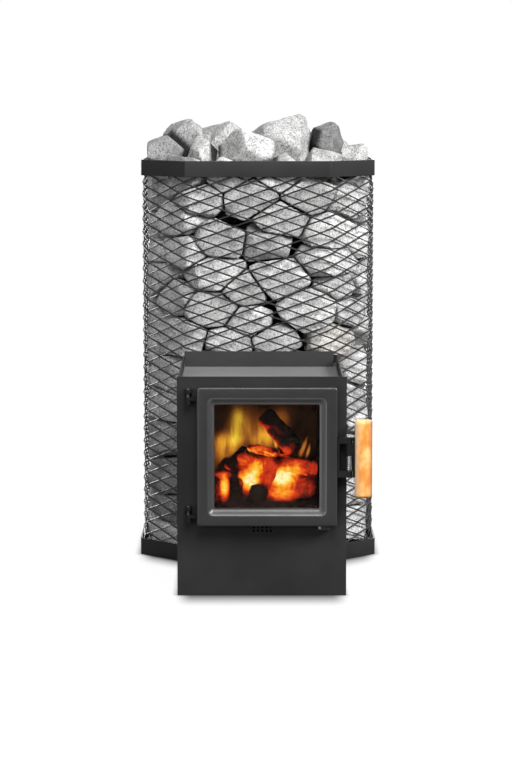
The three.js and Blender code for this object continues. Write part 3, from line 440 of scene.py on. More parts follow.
# Oiled pale wood: blotches, long growth lines along Z and fine pores, pale on one side, greyed on the other
def makeGripWood():
    wood = Finish("gripWood")
    low, high = boxOf("handle_grip")
    blotch = wood.noise(42.0, 3.0, 0.55, wood.stretched((1, 1, 0.6)))
    lines = wood.noise(150.0, 5.0, 0.6, wood.stretched((1, 1, 0.045)))
    pores = wood.noise(900.0, 2.0, 0.5, wood.stretched((1, 1, 0.05)))
    body = wood.ramp(
        blotch, (0.34, colour(214, 112, 38)), (0.48, colour(224, 142, 66)), (0.62, colour(238, 182, 116)))
    dark = wood.mix(wood.remap(lines, 0.45, 0.75, 0.0, 0.4), body, colour(210, 116, 44))
    grained = wood.mix(wood.remap(pores, 0.55, 0.75, 0.0, 0.25), dark, colour(166, 90, 38))
    across = wood.parts()[0]
    # Greyed towards the right side and paled towards the left side, by the distance from each side
    greyedSide = wood.mix(wood.remap(across, high[0] - 0.010, high[0], 0.0, 0.9), grained, colour(112, 88, 64))
    pale = wood.remap(across, low[0], low[0] + 0.010, 0.95, 0.0)
    wood.set(Base_Color=wood.mix(pale, greyedSide, colour(250, 214, 168)))
    wood.set(Roughness=wood.remap(lines, 0.3, 0.7, 0.5, 0.65), Specular_IOR_Level=0.25)
    wood.bump(lines, 0.12, 0.0008)
    return wood.material


# Broken grey rock: pale body in clouds, with dark and light grains at two sizes
def makeStone():
    rock = Finish("saunaStone")
    cloud = rock.noise(26.0, 3.0, 0.6)
    mottle = rock.noise(210.0, 3.0, 0.75)
    grain = rock.noise(480.0, 2.0, 0.7)
    fleck = rock.cells(240.0)
    base = rock.ramp(cloud, (0.32, colour(176, 176, 175)), (0.5, colour(212, 212, 211)), (0.66, colour(232, 232, 231)))
    mottled = rock.mix(rock.remap(mottle, 0.48, 0.64, 0.0, 0.8), base, colour(112, 112, 113))
    salted = rock.mix(rock.remap(grain, 0.52, 0.66, 0.0, 0.7), mottled, colour(78, 78, 79))
    flecked = rock.mix(rock.remap(fleck, 0.12, 0.3, 0.6, 0.0), salted, colour(240, 240, 239))
    # Multiplied by the shade value: each stone's own tone, with the painted shade and light of the stone layout and
    # the painted crevice shade
    shade = rock.value("shade")
    shaded = rock.mix(1.0, flecked, rock.ramp(shade, (0.0, (0.0, 0.0, 0.0, 1)), (1.0, (1, 1, 1, 1))), "MULTIPLY")
    warm = rock.value("warm")
    rock.set(Base_Color=rock.mix(warm, shaded, rock.mix(1.0, shaded, colour(255, 224, 184), "MULTIPLY")))
    rock.set(Roughness=rock.remap(grain, 0.3, 0.7, 0.8, 0.95), Specular_IOR_Level=0.1)
    rough = rock.sum("ADD", rock.noise(130.0, 5.0, 0.7), rock.sum("MULTIPLY", grain, 0.35))
    rock.bump(rough, 0.8, 0.0035)
    return rock.material


# Colours of hot wood from soot through red and orange to white, for a heat from 0 to 1
def heatRamp(finish, heat):
    return finish.ramp(
        heat, (0.10, (0.0, 0.0, 0.0, 1)), (0.30, (0.12, 0.004, 0.002, 1)), (0.50, (0.72, 0.035, 0.004, 1)),
        (0.66, (1.0, 0.20, 0.01, 1)), (0.84, (1.0, 0.60, 0.03, 1)), (1.0, (1.0, 0.93, 0.50, 1)))


# Burning wood: charred crust that glows where its heat value is high, more in cracks and upward streaks
def makeCharredWood():
    char = Finish("charredWood")
    heat = char.value("ember")
    crack = char.cells(80.0, "DISTANCE_TO_EDGE")
    flow = char.noise(60.0, 5.0, 0.65)
    streak = char.noise(110.0, 4.0, 0.6, char.stretched((1, 1, 0.3)))
    crust = char.noise(180.0, 5.0, 0.65)
    uneven = char.sum("ADD", char.remap(flow, 0.25, 0.75, -0.1, 0.1), char.remap(streak, 0.25, 0.75, -0.1, 0.1))
    glow = char.sum("ADD", char.sum("ADD", heat, char.remap(crack, 0.0, 0.1, 0.05, -0.01)), uneven)
    hot = char.sum("MULTIPLY", glow, char.remap(heat, 0.05, 0.3, 0.0, 1.0))
    char.set(Base_Color=char.ramp(crust, (0.3, colour(16, 12, 11)), (0.7, colour(46, 33, 28))), Roughness=0.9)
    char.set(Emission_Color=heatRamp(char, hot), Emission_Strength=char.remap(hot, 0.3, 1.0, 0.8, 1.05))
    char.set(Specular_IOR_Level=0.02)
    char.bump(char.sum("ADD", crust, char.remap(crack, 0.0, 0.2, 0.0, 0.6)), 0.8, 0.004)
    return char.material


# Flame: an emitting veil, thin where its strength value is low, torn by upward-drawn noise
def makeFlame():
    flame = Finish("flameVeil")
    strength = flame.value("strength")
    green = flame.value("green")
    lick = flame.noise(30.0, 4.0, 0.55, flame.stretched((1, 1, 0.28)))
    fierce = flame.sum("MULTIPLY", strength, flame.remap(lick, 0.3, 0.7, 0.35, 1.35))
    warm = flame.ramp(
        fierce, (0.0, (0.35, 0.05, 0.01, 1)), (0.35, (0.75, 0.22, 0.03, 1)),
        (0.65, (0.95, 0.46, 0.03, 1)), (1.0, (1.0, 0.72, 0.12, 1)))
    tinted = flame.mix(green, warm, flame.mix(1.0, warm, (0.72, 1.22, 0.9, 1), "MULTIPLY"))
    emit = flame.node("ShaderNodeEmission")
    flame.link(tinted, emit.inputs["Color"])
    flame.link(flame.remap(fierce, 0.0, 1.0, 0.25, 1.25), emit.inputs["Strength"])
    clear = flame.node("ShaderNodeBsdfTransparent")
    veil = flame.node("ShaderNodeMixShader")
    flame.link(flame.remap(fierce, 0.04, 0.5, 0.0, 0.97), veil.inputs["Fac"])
    flame.link(clear.outputs["BSDF"], veil.inputs[1])
    flame.link(emit.outputs["Emission"], veil.inputs[2])
    flame.link(veil.outputs["Shader"], flame.output.inputs["Surface"])
    flame.tree.nodes.remove(flame.shader)
    return flame.material


paint = makePaint("stovePaint", 40, 0.42)
# Top cover paint: paler than the stove's paint, a painted sheen on the cover's upward face
sheenCoverPaint = makePaint("paintedSheenPaint", 108, 0.5)
doorPaint = makeDoorPaint()
tabPaint = makePaint("tabGrey", 74, 0.5)
blackPaint = makePaint("latchBlack", 26, 0.5, 0.06)
# Near-black, glossless plate for the fire tunnel: partly real soot, partly painted shade that keeps the tunnel behind
# the glass dark under the firelight
soot = makePaint("soot", 8, 0.9, 0.0)
# Collar paint: paler than the stove's paint, painted light for the upper casing, which is drawn lighter than the plate
# below
collarPaintedLight = makePaint("collarPaintedLight", 50, 0.45)
meshSteel = makeMeshSteel()
rawPlate = makeRawPlate()
castIron = makeCastIron()
firebrick = makeFirebrick()
bareSteel = makeBareSteel()
sealRope = makeSealRope()
fireGlass = makeFireGlass()
gripWood = makeGripWood()
saunaStone = makeStone()
charredWood = makeCharredWood()
flameVeil = makeFlame()

keptNodes = {
    "base_plate": paint, "tunnel_floor": paint, "firebox_shell": rawPlate, "firebox_lid": rawPlate,
    "smoke_box": rawPlate, "fire_tunnel": soot, "hearth_plate": castIron, "grate": castIron,
    "smoke_baffle": castIron, "ash_pan": bareSteel, "ash_pan_floor": bareSteel, "firebrick_left": firebrick,
    "firebrick_right": firebrick, "firebrick_rear": firebrick, "slide_guide_upper": bareSteel,
    "slide_guide_lower": bareSteel, "door_glass": fireGlass,
}
for nodeName, nodeFinish in keptNodes.items():
    nodes[nodeName].data.materials.clear()
    nodes[nodeName].data.materials.append(nodeFinish)
print("finishes made; CAD nodes kept:", len(keptNodes))


# Cage: bent bands, expanded-metal panels and the stones inside

topLow, topHigh = boxOf("top_ring")
baseLow, baseHigh = boxOf("base_ring")
cage = {
    "half": topHigh[0],     # outer face of the top band, from the axis
    "facetHalf": 0.151,     # half a straight side, corner to corner
    "bend": 0.007,          # outer bend radius of the bands
    "bendSteps": 6,
    "bandWall": 0.004,
    "bandEdge": 0.0009,     # rounding of a band's edges
}


# Loop round the cage: eight bends, each an arc about a corner of the plan moved in by the bend radius
def cageLoop(half, facetHalf, bend, steps):
    inHalf = half - bend
    inFacet = facetHalf - bend * math.tan(math.pi / 8)
    corners = np.array([
        (inFacet, -inHalf), (inHalf, -inFacet), (inHalf, inFacet), (inFacet, inHalf),
        (-inFacet, inHalf), (-inHalf, inFacet), (-inHalf, -inFacet), (-inFacet, -inHalf)])
    starts = -np.pi / 2 + np.arange(8) * np.pi / 4
    angle = (starts[:, None] + np.linspace(0, np.pi / 4, steps)).ravel()
    return np.repeat(corners, steps, axis=0), angle


# Flat bar bent round the cage: a rounded rectangular section moved along the loop's normals
def bentBand(half, low, high):
    facetHalf = cage["facetHalf"] + (half - cage["half"]) * math.tan(math.pi / 8)
    corners, angle = cageLoop(half, facetHalf, cage["bend"], cage["bendSteps"])
    r = cage["bandEdge"]
    section = np.concatenate([
        arc((r, low + r), r, 270, 180, 4), arc((r, high - r), r, 180, 90, 4),
        arc((cage["bandWall"] - r, high - r), r, 90, 0, 4), arc((cage["bandWall"] - r, low + r), r, 0, -90, 4)])
    reach = cage["bend"] - section[:, 0][:, None]
    x = corners[:, 0] + reach * np.cos(angle)
    y = corners[:, 1] + reach * np.sin(angle)
    points = np.stack([x, y, np.broadcast_to(section[:, 1][:, None], x.shape)], -1)
    return points, [gridFaces(len(section), len(angle), closeU=True, closeV=True)]


makePiece("topBand", [bentBand(topHigh[0], topLow[2], topHigh[2])], paint, "stove", ["top_ring"])
makePiece("baseBand", [bentBand(baseHigh[0], baseLow[2], baseHigh[2])], paint, "stove", ["base_ring"])

expanded = {
    "columns": 24,          # diamonds round the cage
    "diamondHeight": 0.0262,
    "strandWide": 0.0029,
    "strandThick": 0.0017,
    "lean": math.radians(48),   # how far a strand's face leans back from the sheet
    "bond": 0.055,          # share of a half diamond that lies in the bond at each end
    "twistRun": 0.12,       # share over which a strand turns from the bond to its slope
    "sheetMiddle": 0.0032,  # middle of the sheet, inside the cage's outer face
    "tucked": 0.0071,       # the same where the sheet goes behind the top band and the collar
    "tuckRun": 0.016,       # height over which the sheet bends in
    "bottom": 0.008,
    "flueRoom": 0.074,
    "flueTrim": 0.080,      # outer radius of the plate round the flue
    "flueTrimRoom": 0.0005,
}
panelNames = ["front", "front_right", "right", "rear_right", "rear", "rear_left", "left", "front_left"]


# Half strands on a strip that waves up and down round the cage: at each bond the strip lies against
# the next one, one strand wide apart along the leaning face, and between bonds it runs straight, turned
# square to its own slope. A smooth step of the height moves the sheet in below the top band
def expandedMetal():
    half = cage["half"] - expanded["sheetMiddle"]
    facetHalf = cage["facetHalf"] - expanded["sheetMiddle"] * math.tan(math.pi / 8)
    corners, angle = cageLoop(half, facetHalf, cage["bend"], cage["bendSteps"])
    loop = corners + cage["bend"] * np.stack([np.cos(angle), np.sin(angle)], 1)
    loop = np.concatenate([loop, loop[:1]])
    angle = np.append(angle, angle[0] + 2 * np.pi)
    run = np.concatenate([[0], np.cumsum(np.linalg.norm(np.diff(loop, axis=0), axis=1))])
    waves = 2 * expanded["columns"]
    stripCount = int((topHigh[2] - 0.006 - expanded["bottom"]) / (expanded["diamondHeight"] / 2))
    bond, twist = expanded["bond"], expanded["twistRun"]
    t = np.array([0, bond, bond + twist, 1 - bond - twist, 1 - bond, 1])
    twisted = np.array([0, 0, 1, 1, 0, 0])
    wave, strip = [a.ravel() for a in np.meshgrid(np.arange(waves), np.arange(stripCount), indexing="ij")]
    s = ((wave[:, None] + t) / waves * run[-1] + run[-1] / 2 / waves) % run[-1]
    x, y, turn = [np.interp(s, run, row) for row in (loop[:, 0], loop[:, 1], angle)]
    falling = np.where((wave + strip) % 2 == 0, 1.0, -1.0)[:, None]
    side = falling * np.interp(t, [0, bond, 1 - bond, 1], [1, 1, -1, -1])
    slope = falling * twisted * math.atan2(expanded["diamondHeight"] / 2, (1 - 2 * bond) * run[-1] / waves)
    lean, wide, thick = expanded["lean"], expanded["strandWide"], expanded["strandThick"]
    middle = expanded["bottom"] + (strip[:, None] + 0.5) * expanded["diamondHeight"] / 2
    height = middle + side * expanded["diamondHeight"] / 4
    out = np.stack([np.cos(turn), np.sin(turn), np.zeros_like(turn)], -1)
    along = np.stack([-np.sin(turn), np.cos(turn), np.zeros_like(turn)], -1)
    up = np.cos(slope)[..., None] * np.array([0.0, 0.0, 1.0]) + np.sin(slope)[..., None] * along
    share = np.clip((height - topLow[2]) / expanded["tuckRun"] + 1, 0, 1)
    inward = (expanded["tucked"] - expanded["sheetMiddle"]) * share * share * (3 - 2 * share)
    behind = np.where(height < collarHigh[2], expanded["tucked"] - cage["half"], -1)
    x = x - inward * out[..., 0]
    y = np.maximum(y - inward * out[..., 1], behind)
    across = math.cos(lean) * up - math.sin(lean) * out
    through = math.sin(lean) * up + math.cos(lean) * out
    centre = np.stack([x, y, height], -1) - side[..., None] * across * wide * 0.46
    ring = [(-0.5, -0.5), (0.5, -0.5), (0.5, 0.5), (-0.5, 0.5)]
    points = np.stack([centre + a * wide * across + b * thick * through for a, b in ring], 2)
    return points, centre[:, 2:4].mean(1)


collarLow, collarHigh = boxOf("collar_plate")
strandPoints, strandMiddle = expandedMetal()
outward = -np.pi / 2 + np.arange(8) * np.pi / 4
facing = strandMiddle[:, :2] @ np.stack([np.cos(outward), np.sin(outward)])
facing[:, 1::2] += cage["half"] - (cage["half"] + cage["facetHalf"]) / math.sqrt(2)
strandFacet = np.argmax(facing, axis=1)
frontBottom = boxOf("mesh_front")[0][2]
flueLow, flueHigh = boxOf("flue_collar")
flueAt = (flueLow + flueHigh) / 2
flueGap = np.hypot(strandMiddle[:, 0] - flueAt[0], strandMiddle[:, 2] - flueAt[2])
inFlue = (strandFacet == 4) & (flueGap < expanded["flueRoom"])
underCollar = (strandFacet == 0) & (strandMiddle[:, 2] < frontBottom)
for facet, panelName in enumerate(panelNames):
    chosen = strandPoints[(strandFacet == facet) & ~inFlue & ~underCollar]
    count, stations, sides = chosen.shape[:3]
    faces = repeatFaces(gridFaces(stations, sides, closeV=True), stations * sides, count)
    makePiece(
        "meshPanel" + panelName.title().replace("_", ""), [(chosen, [faces])], meshSteel, "stove",
        ["mesh_" + panelName], sharp=40, fillEnds=4)

# Plate that edges the hole for the flue in the rear mesh
rearLow, rearHigh = boxOf("mesh_rear")
trimIn = (flueHigh[0] - flueLow[0]) / 2 + expanded["flueTrimRoom"]
trimRows = [
    (trimIn, rearLow[1]), (expanded["flueTrim"], rearLow[1]), (expanded["flueTrim"], rearHigh[1]),
    (trimIn, rearHigh[1]), (trimIn, rearLow[1])]
flueTrim = makePiece(
    "flueTrim", [turned(trimRows, (flueAt[0], 0, flueAt[2]), 1, 64)], meshSteel, "stove", ["mesh_rear"])
roundEdges(flueTrim, 0.0006)
print("cage: two bands and", len(strandPoints), "mesh strands")

# Stones: the same lay as the solids', worked out in millimetres, each a lump cut by broken faces, by
# planes half way to its neighbours, by the cage and by the stove inside it
stones = {
    "seed": 58,
    "trials": 40000,
    "spread": 75.0,         # least distance of two outer stones, with heights stretched
    "innerSpread": 104.0,
    "stretch": 1.45,
    "depths": (28.0, 46.0),     # middle of an outer stone, inside the cage's fill
    "innerDepths": (66.0, 300.0),
    "room": 20.0,           # from a stone's middle to the stove inside the cage
    "edge": 30.0,           # lowest and highest middles, from the floor and from the top band's upper edge
    "half": (58.0, 54.0, 42.0),
    "sizes": (0.8, 1.2),
    "sizePull": 0.3,
    "near": 240.0,
    "gap": 1.8,             # half the gap to a neighbour
    "chips": 10,
    "chipReach": (0.84, 1.1),
    "recess": 12.0,         # how far a face may stand back from the cage
    "tilt": 0.2,
    "least": 0.2,
    "share": 0.45,          # least share of the way to a neighbour
    "meshRoom": 8.6,        # outer limit of the fill, inside the cage's outer face
    "strandRoom": 1.2,      # further in for the strands that lean inwards
    "sharpness": 70.0,      # power of the soft minimum: higher gives sharper edges
    "grid": 16,
    "rough": (0.035, 0.016),    # lump heights as shares of the radius, at the two sizes below
    "roughSize": (32.0, 11.0),
    "deep": 0.13,           # painted shade of stones that lie behind others, so that the gaps read dark
    "darkOne": 6,           # the dark speckled stone of the heap
    "paleOne": 5,           # its largest one, which lies flat in the light
    "besides": 160.0,       # span between two stones that may touch
    "crevice": (13.0, 9.0),     # gap to the next stone below which one turns dark, in the heap and the cage
    "creviceShade": 0.08,
}
# Heaped stones above the band: middle x and y, top z, and half sizes
heapStones = np.array([
    (-198, -40, 889, 42, 50, 44), (-157, 20, 921, 48, 52, 56), (-118, -150, 888, 34, 44, 44),
    (-67, -60, 919, 33, 44, 58), (-24, -172, 903, 60, 52, 50), (38, -40, 932, 78, 66, 62),
    (143, 0, 914, 42, 56, 56), (136, -180, 864, 40, 40, 34), (182, -116, 868, 26, 40, 36),
    (212, -20, 869, 28, 46, 36), (-80, 110, 912, 64, 62, 56), (62, 120, 908, 68, 58, 54),
    (158, 110, 888, 48, 54, 44), (-166, 116, 884, 48, 54, 44), (0, 188, 878, 58, 44, 42)], float)
millimetre = 1000.0
fireLow, fireHigh = boxOf("firebox_shell")
lidTop = boxOf("firebox_lid")[1][2]
smokeLow, smokeHigh = boxOf("smoke_box")
plateTop = boxOf("base_plate")[1][2]
firebox = (np.array([*fireLow[:2], 0]), np.array([*fireHigh[:2], lidTop]))
solidBoxes = millimetre * np.array([firebox, (smokeLow, smokeHigh), (flueLow, flueHigh)])
sideTurn = np.arange(8) * np.pi / 4
sideNormals = np.stack([np.cos(sideTurn), np.sin(sideTurn), np.zeros(8)], 1)
sideAlong = np.stack([-np.sin(sideTurn), np.cos(sideTurn), np.zeros(8)], 1)
cornerReach = (cage["half"] + cage["facetHalf"]) / math.sqrt(2)
sideReach = millimetre * np.where(np.arange(8) % 2 == 0, cage["half"], cornerReach) - stones["meshRoom"]


# Numbers from 0 to 1: each is a hash of a 32-bit counter that steps on from the seed
def seededNumbers(seed, count):
    mask = 0xFFFFFFFF
    state = (seed + 0x6D2B79F5 * np.arange(1, count + 1, dtype=np.uint64)) & mask
    mixed = ((state ^ (state >> 15)) * (state | 1)) & mask
    mixed = ((mixed + (mixed ^ (mixed >> 7)) * (mixed | 61)) & mask) ^ mixed
    return (mixed ^ (mixed >> 14)) / (mask + 1)


def between(limits, share):
    return limits[0] + (limits[1] - limits[0]) * share


# Random points, kept where the cage leaves the wanted depth and no stone kept before is too near
def scatter(numbers, kept, spread, depths, lowest):
    half = sideReach[0]
    heights = (lowest + stones["edge"], millimetre * topHigh[2] - stones["edge"])
    points = np.stack([*(half * (2 * numbers[:, :2] - 1)).T, between(heights, numbers[:, 2])], 1)
    depth = np.min(sideReach - points @ sideNormals.T, axis=1)
    wanted = (depth > depths[0]) & (depth < depths[1])
    for low, high in solidBoxes:
        wanted &= np.any((points < low - stones["room"]) | (points > high + stones["room"]), axis=1)
    stretch = np.array([1, 1, stones["stretch"]])
    for point in points[wanted]:
        if np.linalg.norm((np.array(kept) - point) * stretch, axis=1).min() > spread:
            kept.append(point)


lay = seededNumbers(stones["seed"], 6 * stones["trials"]).reshape(2, -1, 3)
middles = list(heapStones[:, :3] - heapStones[:, 5:] * np.array([0, 0, 1]))
heapCount = len(middles)
clearance = 0.3
scatter(lay[0], middles, stones["spread"], stones["depths"], millimetre * plateTop + clearance)
outerCount = len(middles)
scatter(lay[1], middles, stones["innerSpread"], stones["innerDepths"], millimetre * lidTop)
middles = np.array(middles)
drawsEach = 2 + 2 * stones["chips"] + 24
draws = np.array([seededNumbers(stones["seed"] + 1 + k, drawsEach) for k in range(len(middles))])
halves = np.array(stones["half"]) * between(stones["sizes"], draws[:, :1])
halves[:heapCount] = heapStones[:, 3:]
weights = np.mean(halves, axis=1) ** 2
directions, ballFaces = ballGrid(stones["grid"])


# Faces as vectors: a point lies behind a face where its product with the vector is below one.
# Broken faces spiral from pole to pole and are measured on the half sizes
def chipFaces(index):
    start, numbers = draws[index, 1], draws[index, 2:2 + 2 * stones["chips"]].reshape(-1, 2)
    order = np.arange(stones["chips"])
    height = 1 - 2 * (order + numbers[:, 0]) / stones["chips"]
    turn = 2 * np.pi * start + order * np.pi * (3 - math.sqrt(5))
    flat = np.sqrt(1 - height ** 2)
    normal = np.stack([flat * np.cos(turn), flat * np.sin(turn), height], 1) / halves[index]
    return normal / between(stones["chipReach"], numbers[:, 1:])


# Planes half way to the near stones, shifted towards the smaller one
def neighbourFaces(index):
    offset = middles - middles[index]
    distance = np.linalg.norm(offset, axis=1)
    near = (distance > 0) & (distance < stones["near"])
    normal = offset[near] * np.array([1, 1, stones["stretch"] ** 2])
    half = np.sum(offset[near] * normal, axis=1) / 2
    shifted = np.maximum(half + (weights[index] - weights[near]) * stones["sizePull"], half * stones["share"])
    reach = np.maximum(shifted - stones["gap"] * np.linalg.norm(normal, axis=1), stones["least"] * half)
    return normal / reach[:, None]


# The cage's near sides, each a little tilted and drawn back
def cageFaces(index):
    back, turned, raised = draws[index, -24:].reshape(8, 3).T
    tilted = sideNormals + stones["tilt"] * ((2 * turned - 1)[:, None] * sideAlong)
    tilted[:, 2] = stones["tilt"] * (2 * raised - 1)
    room = sideReach - sideNormals @ middles[index]
    reach = np.maximum(room - stones["recess"] * back, stones["least"] * room)
    return (tilted / reach[:, None])[room < stones["near"] / 2]


# The nearest side of each box inside the cage, and the plate below
def solidFaces(index):
    middle = middles[index]
    faces = [(0, 0, -1 / (middle[2] - millimetre * plateTop - clearance))]
    for low, high in solidBoxes:
        gaps = np.concatenate([low - middle, middle - high])
        side = int(np.argmax(gaps))
        plane = np.zeros(3)
        plane[side % 3] = (1 if side < 3 else -1) / gaps[side]
        faces.append(plane)
    return np.array(faces)


# Along each direction the radius is the soft minimum of the distances to the faces
def softRadius(rays, faces, size):
    pull = np.maximum(rays @ faces.T, 0) * size
    return size * np.sum(pull ** stones["sharpness"], axis=1) ** (-1 / stones["sharpness"])


# A heaped stone is only chipped; one in the cage also stays clear of its neighbours, the cage and the boxes
def stoneFaces(index):
    if index < heapCount:
        return chipFaces(index)
    return np.concatenate([chipFaces(index), neighbourFaces(index), cageFaces(index), solidFaces(index)])


def stoneShell(index):
    middle, half = middles[index], halves[index]
    heaped = index < heapCount
    radius = softRadius(directions, faceSets[index], half.max())
    rough = 1.0
    for share, lump in zip(stones["rough"], stones["roughSize"]):
        rough = rough + share * latticeNoise(middle + directions * radius[:, None], lump, index * 7 + 3)
    offsets = directions * (radius * rough)[:, None]
    if heaped:
        low, high = offsets.min(0), offsets.max(0)
        offsets = (offsets - (low + high) / 2) / ((high - low) / 2) * half
    points = middle + offsets
    over = np.maximum(points @ sideNormals.T - sideReach + stones["strandRoom"], 0)
    return (points - over @ sideNormals) / millimetre


# Dark where a stone comes close to another: the gap is the distance from the other's middle less its
# radius that way
def creviceShade(index):
    points = millimetre * shells[index]
    spans = np.linalg.norm(middles - middles[index], axis=1)
    gaps = []
    for other in np.flatnonzero((spans > 0) & (spans < stones["besides"])):
        away = points - middles[other]
        distance = np.linalg.norm(away, axis=1)
        rays = away / distance[:, None]
        gaps.append(distance - softRadius(rays, faceSets[other], halves[other].max()))
    width = stones["crevice"][0 if index < heapCount else 1]
    share = np.clip(np.min(gaps, axis=0) / width, 0, 1)
    return stones["creviceShade"] + (1 - stones["creviceShade"]) * share * share * (3 - 2 * share)


faceSets = [stoneFaces(k) for k in range(len(middles))]
shells = [stoneShell(k) for k in range(len(middles))]
draw = np.random.default_rng(stones["seed"])
shade = np.clip(draw.normal(0.88, 0.12, len(middles)), 0.5, 1.0)
# Stones at the left side: their random tone spread wider, and raised as painted light where the lamps reach less
leftOnes = middles[:, 0] < -130
shade[leftOnes] = np.clip(1.0 + 2.0 * (shade[leftOnes] - 0.88), 0.6, 1.0)
# Painted shade on a patch of stones low at the left
shadowed = np.linalg.norm(middles - np.array([-195, -145, 120]), axis=1) < 75
shade[shadowed] *= 0.5
# Painted shade: stones behind the outer ones are darkened so that the gaps between these read dark
shade[outerCount:] = stones["deep"]
# Heaped stones: random tone, all held darker as painted shade against the light on top of the heap; the dark speckled
# one is its own colour
shade[:heapCount] = np.clip(draw.normal(0.66, 0.1, heapCount), 0.45, 0.85)
shade[stones["darkOne"]] = 0.3
shade[stones["paleOne"]] = 0.62
warm = np.zeros(len(middles))
beige = np.array([128, -205, 470])
warm[np.argmin(np.linalg.norm(middles - beige, axis=1))] = 0.18
group = np.full(len(middles), "Front")
group[middles[:, 1] > millimetre * fireHigh[1]] = "Rear"
group[middles[:, 0] < millimetre * fireLow[0]] = "Left"
group[middles[:, 0] > millimetre * fireHigh[0]] = "Right"
group[middles[:, 2] > millimetre * smokeHigh[2]] = "Upper"
group[outerCount:] = "Inner"
group[:heapCount] = "Heap"
groupNodes = {
    "Left": "left", "Right": "right", "Rear": "rear", "Front": "front", "Upper": "top", "Inner": "top", "Heap": "top"}
for groupName, nodeTail in groupNodes.items():
    members = np.flatnonzero(group == groupName)
    chosen = np.array([shells[k] for k in members])
    faces = repeatFaces(ballFaces, len(directions), len(members))
    piece = makePiece(
        "stones" + groupName, [(chosen, [faces])], saunaStone, "stove",
        ["stones_" + nodeTail], sharp=38, tidy=False)
    crevices = np.array([creviceShade(k) if k < outerCount else np.ones(len(directions)) for k in members])
    setPointValues(piece, "shade", (shade[members, None] * crevices).ravel())
    setPointValues(piece, "warm", np.repeat(warm[members], len(directions)))
    print("stones", groupName, len(members))


# Fuel tunnel casing: front plate, cheeks, top cover and collar

plateLow, plateHigh = boxOf("front_plate")
ductLow, ductHigh = boxOf("fire_tunnel")
doorLow, doorHigh = boxOf("door_frame")
slideLow, slideHigh = boxOf("air_slide")
casing = {
    "edge": 0.0009,
    "ductWall": 0.004,
    "ductRoom": 0.0003,
    "airHoleRadius": 0.0021,
    "airHoleFirst": -0.008,
    "airHolePitch": 0.0084,
    "airHoleColumns": 5,
    "airHoleDrop": 0.0057,      # upper row, below the door
    "airHoleRowPitch": 0.0073,
    "tabWidth": 0.018,
    "tabHeight": 0.008,
    "tabFromRight": 0.009,
    "tabFromTop": 0.004,
    "tabTravel": 0.0042,
    "slotRoom": 0.0006,
    "airPort": ((-0.035, 0.050), (0.045, 0.130)),
}


# Flat sheet that faces -Y: a ruled grid without the cells of its openings; a drilled cell is four
# faces that run from two corners of the cell to a quarter of the hole's circle
def drilledSheet(low, high, y, openings, holes=(), radius=0.0, quarter=5):
    reach = 1.6 * radius
    xs = [low[0], high[0], *[x for box in openings for x in (box[0][0], box[1][0])]]
    zs = [low[2], high[2], *[z for box in openings for z in (box[0][1], box[1][1])]]
    xs = np.unique(np.round([*xs, *[x + side for x, z in holes for side in (-reach, reach)]], 6))
    zs = np.unique(np.round([*zs, *[z + side for x, z in holes for side in (-reach, reach)]], 6))
    gridX, gridZ = np.meshgrid(xs, zs, indexing="ij")
    points = np.stack([gridX, np.full_like(gridX, y), gridZ], -1).reshape(-1, 3)
    cells = gridFaces(len(xs), len(zs))
    middle = points[cells].mean(1)
    keep = np.ones(len(cells), bool)
    for (x0, z0), (x1, z1) in openings:
        inside = (middle[:, 0] > x0) & (middle[:, 0] < x1) & (middle[:, 2] > z0) & (middle[:, 2] < z1)
        keep &= ~inside
    count = 4 * (quarter - 1)
    angle = np.radians(225) + np.arange(count) * 2 * np.pi / count
    sides = []
    for x, z in holes:
        cell = int(np.argmin(np.hypot(middle[:, 0] - x, middle[:, 2] - z)))
        keep[cell] = False
        circle = np.stack([x + radius * np.cos(angle), np.full(count, y), z + radius * np.sin(angle)], 1)
        first = len(points)
        points = np.concatenate([points, circle])
        for k in range(4):
            back = (np.arange((k + 1) * (quarter - 1), k * (quarter - 1) - 1, -1)) % count
            sides.append([cells[cell][k], cells[cell][(k + 1) % 4], *(first + back)])
    return points, [cells[keep], np.array(sides)] if sides else [cells[keep]]


def boxPiece(name, node, finish, body, edge):
    piece = makePiece(name, [brick(*boxOf(node))], finish, body, [node])
    return roundEdges(piece, edge)


mouth = (
    (ductLow[0] + casing["ductWall"], ductLow[2] + casing["ductWall"]),
    (ductHigh[0] - casing["ductWall"], ductHigh[2] - casing["ductWall"]))
tabRight = slideHigh[0] - casing["tabFromRight"]
tabTop = slideHigh[2] - casing["tabFromTop"]
tabLeft, tabBottom = tabRight - casing["tabWidth"], tabTop - casing["tabHeight"]
tabSlot = (
    (tabLeft - casing["tabTravel"] - casing["slotRoom"], tabBottom - casing["slotRoom"]),
    (tabRight + casing["slotRoom"], tabTop + casing["slotRoom"]))
airHoles = [
    (casing["airHoleFirst"] + column * casing["airHolePitch"],
     doorLow[2] - casing["airHoleDrop"] - row * casing["airHoleRowPitch"])
    for column in range(casing["airHoleColumns"]) for row in range(2)]
frontPlate = makePiece(
    "frontPlate",
    [drilledSheet(plateLow, plateHigh, plateLow[1], [mouth, tabSlot], airHoles, casing["airHoleRadius"])],
    paint, "stove", ["front_plate"], tidy=False)
roundEdges(thicken(frontPlate, plateHigh[1] - plateLow[1]), 0.0005)

ductHole = (
    (ductLow[0] - casing["ductRoom"], ductLow[2] - casing["ductRoom"]),
    (ductHigh[0] + casing["ductRoom"], ductHigh[2] + casing["ductRoom"]))
collarPlate = makePiece(
    "collarPlate", [drilledSheet(collarLow, collarHigh, collarLow[1], [ductHole, casing["airPort"]])],
    collarPaintedLight, "stove", ["collar_plate"], tidy=False)
roundEdges(thicken(collarPlate, collarHigh[1] - collarLow[1]), 0.0005)

